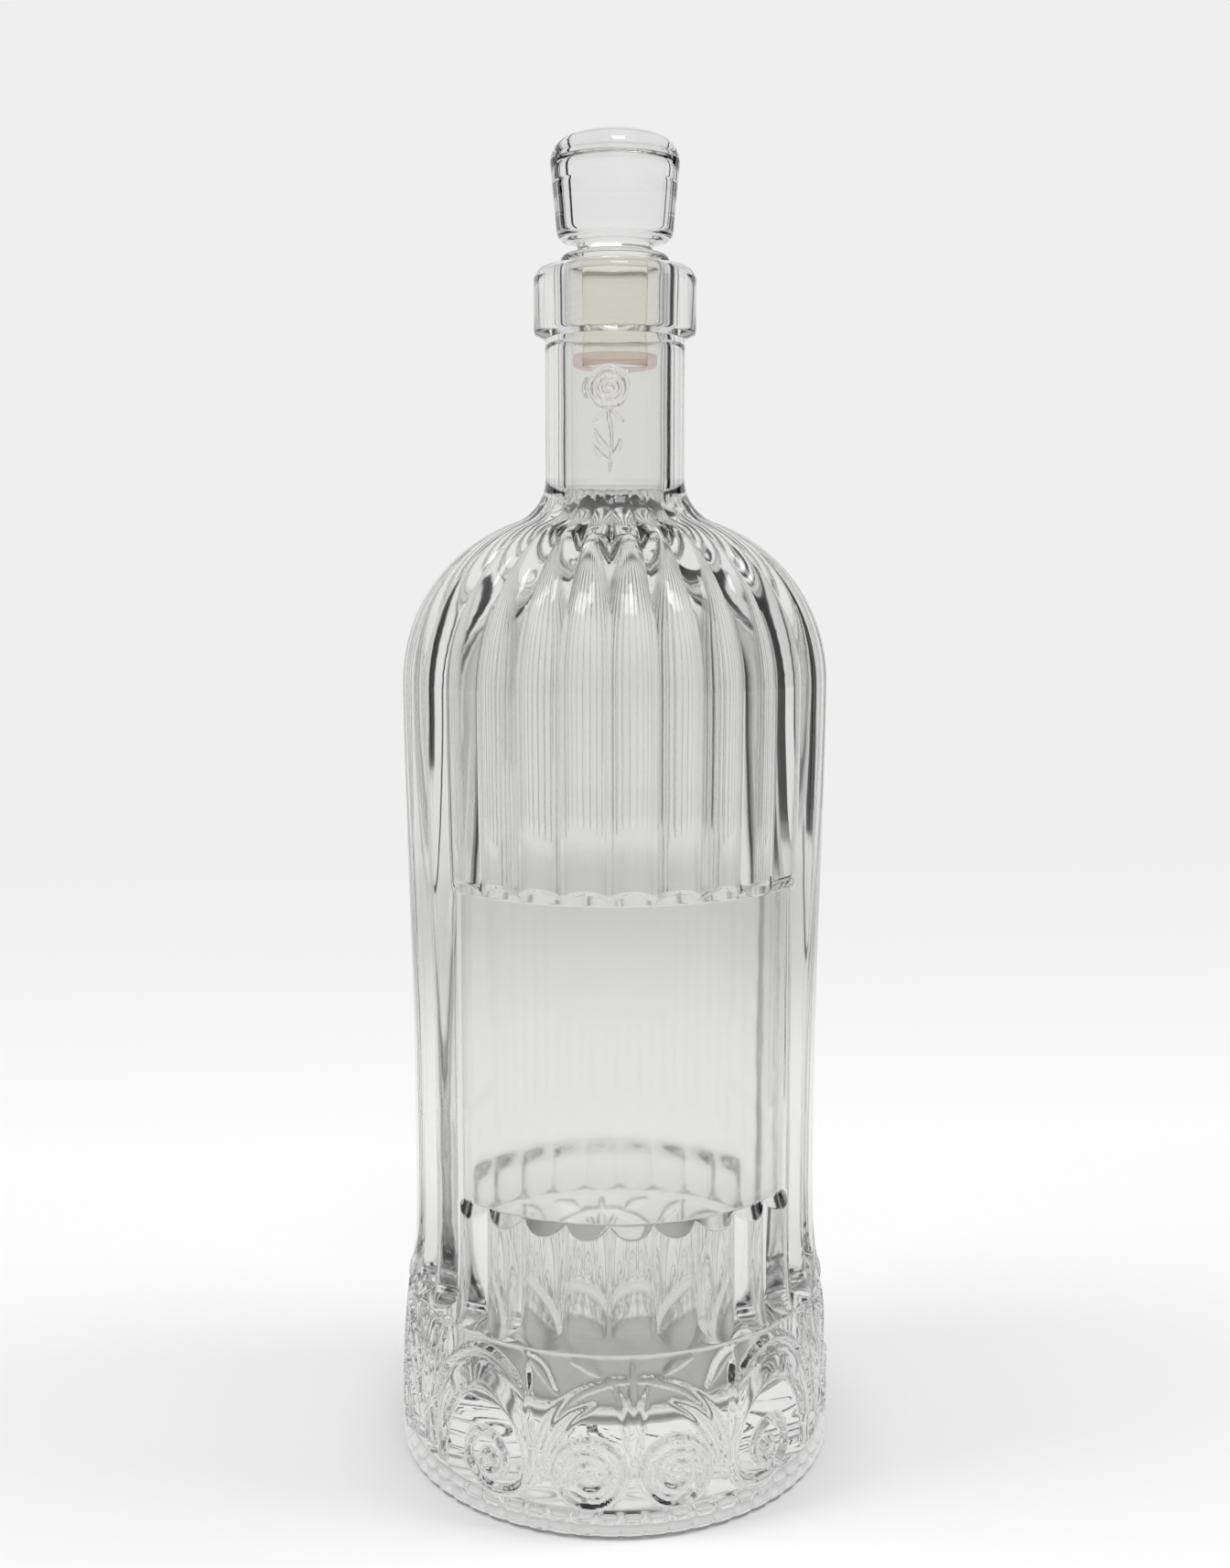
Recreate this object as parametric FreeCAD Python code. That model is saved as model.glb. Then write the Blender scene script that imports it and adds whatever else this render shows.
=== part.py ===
import FreeCAD, Part
import math
import os

# A pressed-glass decanter with a stopper. Millimetres, +Z up, the origin is at the
# centre of the standing base, and the front of the bottle looks along -Y.
# "Azimuth" below is the angle round the bottle from the front, positive towards +X.

# --- Glass outline -------------------------------------------------------------
BASE_RADIUS = 43.8        # over the scroll band, the widest part
FOOT_STEP = 1.5           # the reeds' feet stand this far inside the band
WAIST_STEP = 3.2          # so do the reeds at the middle of the body
SHOULDER_STEP = 2.1       # and the reeds where the dome starts
BAND_HEIGHT = 35.4        # top of the scroll band
WAIST_ABOVE_BAND = 10.0   # where the reeds' flared feet have run out
SHOULDER_HEIGHT = 155.4   # where the dome starts
DOME_RADIUS = 32.6        # the dome's own arc, over the reeds
NECK_RADIUS = 13.5
NECK_FILLET = 9.0         # hollow curve from dome to neck
RING_RADIUS = 15.6        # ring round the mouth
RING_DEPTH = 13.2         # height of that ring
RING_ROUND = 2.2
BOTTLE_HEIGHT = 234.2
RUN_OUT = 3.3             # how far the solid under the neck reaches out into the dome
RUN_IN = 2.0              # and how far it reaches down there

# --- Inside --------------------------------------------------------------------
LABEL_WALL = 2.3          # glass behind the smooth panels
BORE_RADIUS = 9.6
MOUTH_ROUND = 0.8
INNER_NECK_FILLET = 9.5
FLOOR_HEIGHT = 17.0
FLOOR_CORNER = 9.0
PUNT_HEIGHT = 3.4         # rise of the hollow under the base
STANDING_WIDTH = 6.5      # flat ring that the bottle stands on

# --- Straight steps that make up the rounds of the glass --------------------------
FINE_CHORDS = 4
ROUND_CHORDS = 3
COARSE_CHORDS = 2

# --- Reeds and smooth panels ---------------------------------------------------
REED_COUNT = 30
REED_DEPTH = 2.05
REED_CHORDS = 4           # flats that make up one reed's round
REED_FULLNESS = 0.40      # largest depth of a reed as a share of its own width
DOME_SWEEP = 80.0         # degrees of the dome's arc that the reeds follow
DOME_STEPS = 4
PANEL_REEDS = 9           # reeds left out across each smooth panel
PANEL_LOW = 58.6
BACK_PANEL_LOW = 48.5     # the panel at the back reaches further down
PANEL_HIGH = 117.9
PANEL_SINK = 0.15         # how far the panel lies below the reeds' valleys
PANEL_RAMP = 1.0          # slope of the cut reed ends: rise for each 1 mm outwards
VALLEY_TOE = 3.6          # height of the pointed toe at the foot of each valley

# --- Heel ----------------------------------------------------------------------
HEEL_HEIGHT = 4.4
HEEL_ROUND = 2.2
HEEL_STEP = 0.9

# --- Scroll band ---------------------------------------------------------------
RELIEF = 1.2              # height of the ornament above its ground
BAND_BREAK = 20.0         # the band is upright below this height and leans in above it
EYE_HEIGHT = 12.3         # height of the centres of all the scrolls
SCROLL_CHORDS = 2         # straight steps in each quarter turn of a scroll
SMALL_SCROLL_OFFSET = 8.2
SMALL_SCROLL_RADIUS = 7.2
SMALL_SCROLL_PITCH = 3.0
SMALL_SCROLL_QUARTERS = 6
SMALL_SCROLL_WIDTH = 1.6
LARGE_SCROLL_AZIMUTH = 38.0
LARGE_SCROLL_RADII = (14.0, 17.6, 8.9, 6.2, 5.3, 4.9, 4.5, 3.0)
LARGE_SCROLL_WIDTHS = (2.4, 4.8, 1.8, 1.5, 1.3, 1.2, 1.2, 1.2)
EYE_RADIUS = 1.7
ARCH_CROWN = 2.8          # distance of the arch's crown from the centre line
ARCH_SPREAD = 14.6
ARCH_RISE = 17.6
ARCH_WIDTH = 1.7
SPRAY_AZIMUTH = 61.5      # the spray between a large scroll and the side's small ones
SPRAY_FOOT = 11.0         # height where the stem of a spray starts
SPRAY_LENGTH = 22.0
SPRAY_WIDTH = 5.0
SPRAY_SWELL = 0.72        # share of its length where a spray is widest
ORNAMENT_FROM = 0.75      # share of the base radius where the ornament's blocks start
ORNAMENT_LENGTH = 0.35    # and their length outwards, as a share of it

# --- Stopper -------------------------------------------------------------------
SEAT_GAP = 0.05           # between the mouth and the sleeve's flange
SLEEVE_FLANGE_RADIUS = 10.1
SLEEVE_FLANGE = 0.7
PLUG_LENGTH = 16.4        # sleeve below the mouth
SLEEVE_RADIUS = 8.9
SHANK_RADIUS = 6.3
FIN_CLEARANCE = 0.08
FIN_COUNT = 5
FIN_PITCH = 2.8
FIN_HEIGHT = 0.7
FIRST_FIN = 1.9           # first fin below the mouth
END_RING_LENGTH = 2.2
END_RING_RADIUS = 8.1
COLLAR_RADIUS = 10.4      # glass collar under the knob
COLLAR_HEIGHT = 1.65
COLLAR_BEVEL = 0.8
KNOB_WAIST_RADIUS = 7.2
KNOB_WAIST_HEIGHT = 2.5
KNOB_FOOT_SLOPE = 0.5     # the knob's underside rises by this much out to its round
KNOB_LOW_RADIUS = 11.2
KNOB_LOW_ROUND = 2.2
KNOB_RADIUS = 12.35       # at the parting line, from where the side tapers down
KNOB_SIDE = 17.15         # from the collar to the parting line
KNOB_CROWN = 6.4          # dome above the parting line
KNOB_EDGE_ROUND = 4.6     # fuller curve between the knob's side and its dome

X_AXIS = FreeCAD.Vector(1, 0, 0)
Z_AXIS = FreeCAD.Vector(0, 0, 1)
ORIGIN = FreeCAD.Vector(0, 0, 0)

# --- Worked out from the sizes above -------------------------------------------
foot_radius = BASE_RADIUS - FOOT_STEP
waist_radius = BASE_RADIUS - WAIST_STEP
shoulder_radius = BASE_RADIUS - SHOULDER_STEP
dome_centre = shoulder_radius - DOME_RADIUS
panel_radius = waist_radius - REED_DEPTH - PANEL_SINK
inner_radius = panel_radius - LABEL_WALL
waist_height = BAND_HEIGHT + WAIST_ABOVE_BAND
reed_pitch = 360.0 / REED_COUNT
ring_low = BOTTLE_HEIGHT - RING_DEPTH
ground_low = BASE_RADIUS - RELIEF
ground_high = foot_radius - RELIEF
collar_bottom = BOTTLE_HEIGHT + SEAT_GAP + SLEEVE_FLANGE
sleeve_end = BOTTLE_HEIGHT - PLUG_LENGTH
plug_end = sleeve_end - END_RING_LENGTH


def at(radius, height):
    """A point of a profile, in the XZ plane."""
    return FreeCAD.Vector(radius, 0, height)


def line(start, end):
    return Part.makeLine(start, end)


def chords_about(centre, radius, first_angle, last_angle, steps):
    """A round of the profile in a few straight steps, between two angles in degrees."""
    points = []
    for number in range(steps + 1):
        turn = math.radians(first_angle + (last_angle - first_angle) * number / steps)
        points.append(centre + at(radius * math.cos(turn), radius * math.sin(turn)))
    return [line(points[number], points[number + 1]) for number in range(steps)]


def cap_radius(rim_radius, rise):
    """Radius of the sphere whose cap has this rim and this rise."""
    return (rim_radius ** 2 + rise ** 2) / (2.0 * rise)


def face_of(edges):
    return Part.Face(Part.Wire(Part.__sortEdges__(edges)))


def revolved(edges, angle=360.0):
    return face_of(edges).revolve(ORIGIN, Z_AXIS, angle)


def turned(shape, azimuth):
    copy = shape.copy()
    copy.rotate(ORIGIN, Z_AXIS, azimuth)
    return copy


# --- Reeded body -----------------------------------------------------------------
def reed_section(radius, height, depth):
    """Closed outline of half-round reeds in short chords, one reed centred on the front."""
    half_pitch = math.radians(reed_pitch / 2.0)
    depth = min(depth, REED_FULLNESS * 2.0 * radius * math.sin(half_pitch))
    half_width = (radius - depth) * math.sin(half_pitch)
    rise = radius - (radius - depth) * math.cos(half_pitch)
    round_radius = cap_radius(half_width, rise)
    half_turn = math.atan2(half_width, round_radius - rise)
    points = []
    for number in range(REED_COUNT):
        middle = math.radians(-90.0 + number * reed_pitch)
        for step in range(REED_CHORDS):
            swing = half_turn * (2.0 * step / REED_CHORDS - 1.0)
            out = radius - round_radius + round_radius * math.cos(swing)
            along = round_radius * math.sin(swing)
            points.append(FreeCAD.Vector(
                out * math.cos(middle) - along * math.sin(middle),
                out * math.sin(middle) + along * math.cos(middle),
                height,
            ))
    points.append(points[0])
    return Part.makePolygon(points)


def reeded_wall():
    """Reeds from their flared feet, past the waist, up to the shoulder."""
    sections = [
        reed_section(foot_radius, BAND_HEIGHT, REED_DEPTH),
        reed_section(waist_radius, waist_height, REED_DEPTH),
        reed_section(shoulder_radius, SHOULDER_HEIGHT, REED_DEPTH),
    ]
    return Part.makeLoft(sections, True, True)


def reeded_dome():
    """The same reeds drawn together over the dome, down to nothing at the neck."""
    sections = []
    for number in range(DOME_STEPS + 1):
        turn = math.radians(DOME_SWEEP * number / DOME_STEPS)
        radius = dome_centre + DOME_RADIUS * math.cos(turn)
        height = SHOULDER_HEIGHT + DOME_RADIUS * math.sin(turn)
        sections.append(reed_section(radius, height, REED_DEPTH / math.cos(turn)))
    return Part.makeLoft(sections, True, True)


def neck_and_ring():
    """Hollow curve off the dome, straight neck, and the ring round the mouth."""
    centre_radius = NECK_RADIUS + NECK_FILLET
    reach = DOME_RADIUS + NECK_FILLET
    lean = math.degrees(math.acos((centre_radius - dome_centre) / reach))
    centre_height = SHOULDER_HEIGHT + reach * math.sin(math.radians(lean))
    fillet_centre = at(centre_radius, centre_height)
    fillet = chords_about(fillet_centre, NECK_FILLET, 180.0, 180.0 + lean, FINE_CHORDS)
    neck_foot = at(NECK_RADIUS, centre_height)
    dome_point = at(
        centre_radius - NECK_FILLET * math.cos(math.radians(lean)),
        centre_height - NECK_FILLET * math.sin(math.radians(lean)),
    )
    run_out = dome_point + at(RUN_OUT, -RUN_IN)
    ring_foot = at(NECK_RADIUS, ring_low)
    ring_side = at(RING_RADIUS, ring_low + RING_ROUND)
    ring_top = at(RING_RADIUS, BOTTLE_HEIGHT - RING_ROUND)
    mouth = at(RING_RADIUS - RING_ROUND, BOTTLE_HEIGHT)
    top_centre = at(RING_RADIUS - RING_ROUND, BOTTLE_HEIGHT - RING_ROUND)
    axis_top = at(0, BOTTLE_HEIGHT)
    axis_low = at(0, SHOULDER_HEIGHT)
    core_low = at(dome_centre, SHOULDER_HEIGHT)
    ring_edge = chords_about(top_centre, RING_ROUND, 0.0, 90.0, ROUND_CHORDS)
    return revolved(fillet + ring_edge + [
        line(axis_low, core_low),
        line(core_low, run_out),
        line(run_out, dome_point),
        line(neck_foot, ring_foot),
        line(ring_foot, ring_side),
        line(ring_side, ring_top),
        line(mouth, axis_top),
        line(axis_top, axis_low),
    ])


def band_and_heel():
    """Ground of the scroll band, the heel under it, and the hollow underside."""
    standing = BASE_RADIUS - HEEL_ROUND
    punt_edge = at(standing - STANDING_WIDTH, 0)
    punt_radius = cap_radius(punt_edge.x, PUNT_HEIGHT)
    punt_centre = at(0, PUNT_HEIGHT - punt_radius)
    punt_lean = math.degrees(math.acos(punt_edge.x / punt_radius))
    punt_top = at(0, PUNT_HEIGHT)
    heel_start = at(standing, 0)
    heel_low = at(BASE_RADIUS, HEEL_ROUND)
    heel_high = at(BASE_RADIUS, HEEL_HEIGHT)
    ground_start = at(ground_low, HEEL_HEIGHT + HEEL_STEP)
    ground_break = at(ground_low, BAND_BREAK)
    ground_end = at(ground_high, BAND_HEIGHT - RELIEF)
    ledge = at(foot_radius, BAND_HEIGHT)
    toe = at(foot_radius - REED_DEPTH - PANEL_SINK * 2.0, BAND_HEIGHT + VALLEY_TOE)
    inner = at(panel_radius - LABEL_WALL / 2.0, toe.z)
    axis_top = at(0, toe.z)
    punt = chords_about(punt_centre, punt_radius, 90.0, punt_lean, COARSE_CHORDS)
    return revolved(punt + [
        line(punt_edge, heel_start),
        line(heel_start, heel_low),
        line(heel_low, heel_high),
        line(heel_high, ground_start),
        line(ground_start, ground_break),
        line(ground_break, ground_end),
        line(ground_end, ledge),
        line(ledge, toe),
        line(toe, inner),
        line(inner, axis_top),
        line(axis_top, punt_top),
    ])


def cavity():
    """Everything that is open inside: mouth, bore, dome, wall and floor."""
    inner_dome = inner_radius - dome_centre
    centre_radius = BORE_RADIUS + INNER_NECK_FILLET
    reach = inner_dome + INNER_NECK_FILLET
    lean = math.degrees(math.acos((centre_radius - dome_centre) / reach))
    centre_height = SHOULDER_HEIGHT + reach * math.sin(math.radians(lean))
    fillet_centre = at(centre_radius, centre_height)
    axis_top = at(0, BOTTLE_HEIGHT)
    mouth = at(BORE_RADIUS + MOUTH_ROUND, BOTTLE_HEIGHT)
    mouth_centre = at(BORE_RADIUS + MOUTH_ROUND, BOTTLE_HEIGHT - MOUTH_ROUND)
    bore_top = at(BORE_RADIUS, BOTTLE_HEIGHT - MOUTH_ROUND)
    bore_low = at(BORE_RADIUS, centre_height)
    dome_start = at(inner_radius, SHOULDER_HEIGHT)
    wall_low = at(inner_radius, FLOOR_HEIGHT + FLOOR_CORNER)
    corner = at(inner_radius - FLOOR_CORNER, FLOOR_HEIGHT + FLOOR_CORNER)
    floor_edge = at(inner_radius - FLOOR_CORNER, FLOOR_HEIGHT)
    floor_centre = at(0, FLOOR_HEIGHT)
    rounds = chords_about(mouth_centre, MOUTH_ROUND, 90.0, 180.0, COARSE_CHORDS)
    rounds += chords_about(fillet_centre, INNER_NECK_FILLET, 180.0, 180.0 + lean, ROUND_CHORDS)
    rounds += chords_about(at(dome_centre, SHOULDER_HEIGHT), inner_dome, lean, 0.0, FINE_CHORDS)
    rounds += chords_about(corner, FLOOR_CORNER, 0.0, -90.0, ROUND_CHORDS)
    return revolved(rounds + [
        line(axis_top, mouth),
        line(bore_top, bore_low),
        line(dome_start, wall_low),
        line(floor_edge, floor_centre),
        line(floor_centre, axis_top),
    ])


def panel_cutter(lower_edge):
    """Ring sector that leaves a smooth panel with ramped reed ends above and below."""
    reach = 2.0 * REED_DEPTH
    low = at(panel_radius, lower_edge)
    high = at(panel_radius, PANEL_HIGH)
    outer_high = at(panel_radius + reach, PANEL_HIGH + reach * PANEL_RAMP)
    outer_low = at(panel_radius + reach, lower_edge - reach * PANEL_RAMP)
    span = PANEL_REEDS * reed_pitch
    ring = revolved([line(low, high), line(high, outer_high), line(outer_high, outer_low), line(outer_low, low)], span)
    return turned(ring, -90.0 - span / 2.0)


# --- Scroll band -----------------------------------------------------------------
def towards(quarter, hand):
    """Unit vector after a number of quarter turns, from +X; hand 1 turns left, -1 right."""
    steps = ((1, 0), (0, hand), (-1, 0), (0, -hand))
    x, z = steps[quarter % 4]
    return FreeCAD.Vector(x, 0, z)


def scroll_edge(centre, radii, start, hand):
    """Chain of quarter ellipses in short chords; radii are measured at each quarter turn."""
    points = [centre + towards(start, hand) * radii[0]]
    for number in range(len(radii) - 1):
        first = towards(start + number, hand) * radii[number]
        last = towards(start + number + 1, hand) * radii[number + 1]
        for step in range(1, SCROLL_CHORDS + 1):
            turn = math.radians(90.0 * step / SCROLL_CHORDS)
            points.append(centre + first * math.cos(turn) + last * math.sin(turn))
    return points


def outline(points):
    return Part.Face(Part.makePolygon(points + [points[0]]))


def scroll(centre, radii, widths, start, hand):
    """Flat ridge that winds inwards between two scroll edges."""
    inner = [radius - width for radius, width in zip(radii, widths)]
    outer_edge = scroll_edge(centre, radii, start, hand)
    inner_edge = scroll_edge(centre, inner, start, hand)
    return outline(outer_edge + inner_edge[::-1])


def eye(centre, radius):
    return outline(scroll_edge(centre, [radius] * 5, 0, 1)[:-1])


def raised(faces):
    """Pushes flat outlines out through the band at the front."""
    start = FreeCAD.Vector(0, -BASE_RADIUS * ORNAMENT_FROM, 0)
    push = FreeCAD.Vector(0, -BASE_RADIUS * ORNAMENT_LENGTH, 0)
    solids = []
    for face in faces:
        moved = face.copy()
        moved.translate(start)
        solids.append(moved.extrude(push))
    return solids[0].multiFuse(solids[1:]) if len(solids) > 1 else solids[0]


def mirrored(shape):
    return shape.mirror(ORIGIN, X_AXIS)


def spray():
    """Upright bud on a stem: one pointed outline, widest above its middle."""
    half = SPRAY_WIDTH / 2.0
    top = SPRAY_FOOT + SPRAY_LENGTH
    wide = SPRAY_FOOT + SPRAY_LENGTH * SPRAY_SWELL
    return raised([outline([at(0, SPRAY_FOOT), at(half, wide), at(0, top), at(-half, wide)])])


def small_half():
    """Right half of a group: a small scroll and the arch over it."""
    centre = at(SMALL_SCROLL_OFFSET, EYE_HEIGHT)
    radii = [SMALL_SCROLL_RADIUS - SMALL_SCROLL_PITCH * k / 4.0 for k in range(SMALL_SCROLL_QUARTERS + 1)]
    widths = [SMALL_SCROLL_WIDTH] * len(radii)
    crown = at(ARCH_CROWN, EYE_HEIGHT)
    return raised([
        scroll(centre, radii, widths, 1, 1),
        scroll(crown, (ARCH_SPREAD, ARCH_RISE), (ARCH_WIDTH, ARCH_WIDTH), 0, 1),
    ])


def large_scroll():
    centre = at(0, EYE_HEIGHT)
    return raised([
        scroll(centre, LARGE_SCROLL_RADII, LARGE_SCROLL_WIDTHS, 0, 1),
        eye(centre, EYE_RADIUS),
    ])


def relief_shell():
    """The layer that the ornament fills, from inside the ground to the ridges' tops."""
    inside = at(ground_high - 2.0 * RELIEF, HEEL_HEIGHT)
    low = at(BASE_RADIUS, HEEL_HEIGHT)
    bend = at(BASE_RADIUS, BAND_BREAK)
    high = at(foot_radius, BAND_HEIGHT - RELIEF / 2.0)
    inside_high = at(inside.x, high.z)
    return revolved([
        line(inside, low),
        line(low, bend),
        line(bend, high),
        line(high, inside_high),
        line(inside_high, inside),
    ])


def scroll_band():
    """One quarter of the ornament, repeated in mirror image round the band."""
    shell = relief_shell()
    half = small_half().common(shell)
    centre_spray = spray().common(shell)
    large = turned(large_scroll(), LARGE_SCROLL_AZIMUTH).common(shell)
    side_spray = turned(centre_spray, SPRAY_AZIMUTH)
    quarter = [half, large, side_spray, turned(mirrored(half), 90.0)]
    pieces = []
    for shape in quarter:
        for copy in (shape, mirrored(shape)):
            pieces.append(copy)
            pieces.append(turned(copy, 180.0))
    for azimuth in (0.0, 90.0, 180.0, 270.0):
        pieces.append(turned(centre_spray, azimuth))
    return pieces


def bottle():
    outside = band_and_heel().multiFuse([reeded_wall(), reeded_dome(), neck_and_ring()])
    glass = outside.cut([panel_cutter(PANEL_LOW), turned(panel_cutter(BACK_PANEL_LOW), 180.0)])
    glass = glass.multiFuse(scroll_band())
    return glass.cut(cavity())


# --- Stopper ---------------------------------------------------------------------
def stopper_knob():
    """Solid glass: domed knob, waist, collar and the shank inside the sleeve."""
    collar_top = collar_bottom + COLLAR_HEIGHT
    waist_top = collar_top + KNOB_WAIST_HEIGHT
    parting = collar_top + KNOB_SIDE
    crown = parting + KNOB_CROWN
    low_round = at(KNOB_LOW_RADIUS - KNOB_LOW_ROUND, waist_top + KNOB_LOW_ROUND)
    low_side = at(KNOB_LOW_RADIUS, waist_top + KNOB_LOW_ROUND)
    knob_foot = at(KNOB_LOW_RADIUS - KNOB_LOW_ROUND, waist_top)
    waist_low = at(KNOB_WAIST_RADIUS, collar_top)
    waist_high = at(KNOB_WAIST_RADIUS, waist_top - KNOB_FOOT_SLOPE)
    collar_edge = at(COLLAR_RADIUS - COLLAR_BEVEL, collar_top)
    collar_side = at(COLLAR_RADIUS, collar_top - COLLAR_BEVEL)
    collar_low = at(COLLAR_RADIUS, collar_bottom)
    edge_centre = at(KNOB_RADIUS - KNOB_EDGE_ROUND, parting)
    dome = (edge_centre.x ** 2 + KNOB_CROWN ** 2 - KNOB_EDGE_ROUND ** 2) / (2.0 * (KNOB_CROWN - KNOB_EDGE_ROUND))
    dome_lean = math.degrees(math.acos(edge_centre.x / (dome - KNOB_EDGE_ROUND)))
    rounds = chords_about(low_round, KNOB_LOW_ROUND, -90.0, 0.0, COARSE_CHORDS)
    rounds += chords_about(edge_centre, KNOB_EDGE_ROUND, 0.0, dome_lean, ROUND_CHORDS)
    rounds += chords_about(at(0, crown - dome), dome, dome_lean, 90.0, ROUND_CHORDS)
    return revolved(rounds + [
        line(at(0, crown), at(0, plug_end)),
        line(at(0, plug_end), at(SHANK_RADIUS, plug_end)),
        line(at(SHANK_RADIUS, plug_end), at(SHANK_RADIUS, collar_bottom)),
        line(at(SHANK_RADIUS, collar_bottom), collar_low),
        line(collar_low, collar_side),
        line(collar_side, collar_edge),
        line(collar_edge, waist_low),
        line(waist_low, waist_high),
        line(waist_high, knob_foot),
        line(low_side, at(KNOB_RADIUS, parting)),
    ])


def stopper_sleeve():
    """Soft sleeve round the shank, with sealing fins that fill the bore."""
    flange_low = BOTTLE_HEIGHT + SEAT_GAP
    points = [
        at(SHANK_RADIUS, collar_bottom),
        at(SLEEVE_FLANGE_RADIUS, collar_bottom),
        at(SLEEVE_FLANGE_RADIUS, flange_low),
        at(SLEEVE_RADIUS, flange_low),
    ]
    fin_radius = BORE_RADIUS - FIN_CLEARANCE
    for number in range(FIN_COUNT):
        middle = BOTTLE_HEIGHT - FIRST_FIN - number * FIN_PITCH
        points.append(at(SLEEVE_RADIUS, middle + FIN_HEIGHT / 2.0))
        points.append(at(fin_radius, middle))
        points.append(at(SLEEVE_RADIUS, middle - FIN_HEIGHT / 2.0))
    points.append(at(SLEEVE_RADIUS, sleeve_end))
    points.append(at(SHANK_RADIUS, sleeve_end))
    points.append(points[0])
    return Part.Face(Part.makePolygon(points)).revolve(ORIGIN, Z_AXIS, 360.0)


def sleeve_end_ring():
    """Coloured ring that closes the lower end of the sleeve."""
    return revolved([
        line(at(SHANK_RADIUS, plug_end), at(END_RING_RADIUS, plug_end)),
        line(at(END_RING_RADIUS, plug_end), at(END_RING_RADIUS, sleeve_end)),
        line(at(END_RING_RADIUS, sleeve_end), at(SHANK_RADIUS, sleeve_end)),
        line(at(SHANK_RADIUS, sleeve_end), at(SHANK_RADIUS, plug_end)),
    ])


os.makedirs("parts", exist_ok=True)
NODES = {
    "bottle": bottle,
    "stopper_knob": stopper_knob,
    "stopper_sleeve": stopper_sleeve,
    "sleeve_end_ring": sleeve_end_ring,
}
for name, make in NODES.items():
    shape = make()
    solids = len(shape.Solids)
    print(name, "solids", solids, "volume", round(shape.Volume / 1000.0, 1), "cm3", "valid", shape.isValid())
    shape.exportStep("parts/" + name + ".step")
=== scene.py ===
# %% [markdown]
# # A pressed-glass decanter with its stopper
#
# The real bottle is pressed and blown in clear soda-lime glass. Thirty half-round reeds
# run up the body and over the shoulder, a smooth panel is left free at the front and the
# back, and a band of scrolls goes round the foot. The stopper is a solid glass knob whose
# shank carries a soft plastic sleeve with sealing fins and a tinted ring at its end.
#
# Everything round is turned: an outline is drawn point by point and spun about the axis.
# The pressed pattern is then pushed into the turned skin by moving its vertices along a
# formula, which is what the mould does to the hot glass. All lengths are in millimetres
# until a mesh is made, and `MM` turns them into the metres that Blender works in.

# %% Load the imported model
import math

import bpy
import numpy as np
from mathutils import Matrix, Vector


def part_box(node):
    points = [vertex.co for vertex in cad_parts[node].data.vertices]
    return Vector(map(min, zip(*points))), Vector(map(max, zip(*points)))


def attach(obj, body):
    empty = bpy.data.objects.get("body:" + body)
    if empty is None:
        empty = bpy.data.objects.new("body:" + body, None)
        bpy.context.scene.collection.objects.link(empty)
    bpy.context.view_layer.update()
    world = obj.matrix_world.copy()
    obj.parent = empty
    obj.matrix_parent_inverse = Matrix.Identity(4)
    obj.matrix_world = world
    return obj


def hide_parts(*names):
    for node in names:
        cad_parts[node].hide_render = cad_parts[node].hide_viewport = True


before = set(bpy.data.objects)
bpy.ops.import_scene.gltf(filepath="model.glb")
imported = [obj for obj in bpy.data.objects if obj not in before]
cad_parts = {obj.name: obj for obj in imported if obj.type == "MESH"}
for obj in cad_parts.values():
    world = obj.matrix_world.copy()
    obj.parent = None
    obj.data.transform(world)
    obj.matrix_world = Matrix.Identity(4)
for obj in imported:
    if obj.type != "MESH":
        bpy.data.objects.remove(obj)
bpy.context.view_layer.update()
MM = 0.001
print("nodes:", sorted(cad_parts))

# %% [markdown]
# The sizes that the solids fix are read back from the frame, so that a glass piece always
# ends where its node ends. The rest of the outline is written in millimetres.

# %% Sizes of the glass
glass_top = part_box("bottle")[1] / MM
knob_low, knob_top = (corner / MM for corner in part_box("stopper_knob"))
sleeve_low, sleeve_top = (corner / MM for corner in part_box("stopper_sleeve"))
tip_low, tip_top = (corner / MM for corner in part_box("sleeve_end_ring"))

BASE_RADIUS = glass_top.x
MOUTH_HEIGHT = glass_top.z
FOOT_RADIUS = BASE_RADIUS - 1.5
SHOULDER_RADIUS = BASE_RADIUS - 2.1
RELIEF = 1.2
BAND_HEIGHT = 35.4
SHOULDER_HEIGHT = 155.4
DOME_RADIUS = 32.6
NECK_RADIUS = 13.5
NECK_FILLET = 9.0
RING_RADIUS = 15.6
RING_DEPTH = 13.2
BORE_RADIUS = 9.6
dome_centre = SHOULDER_RADIUS - DOME_RADIUS
print("base radius", round(BASE_RADIUS, 2), "mouth at", round(MOUTH_HEIGHT, 2), "mm")

# %% [markdown]
# ## Turning
#
# A lathe needs three helpers: one that draws arcs, one that spins an outline and one that
# lays a finished piece down with smooth faces. The outline is drawn by extruding a single
# vertex from point to point, as with the E key, and the Spin operator turns it.

# %% Helpers for turned pieces
def arc(centre_radius, centre_height, radius, first, last, steps):
    """Points of an arc in an outline, its angles in degrees from the horizontal."""
    turns = np.radians(np.linspace(first, last, steps + 1))
    return [(centre_radius + radius * math.cos(turn), centre_height + radius * math.sin(turn))
            for turn in turns]


SAME_POINT = 0.001


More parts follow.
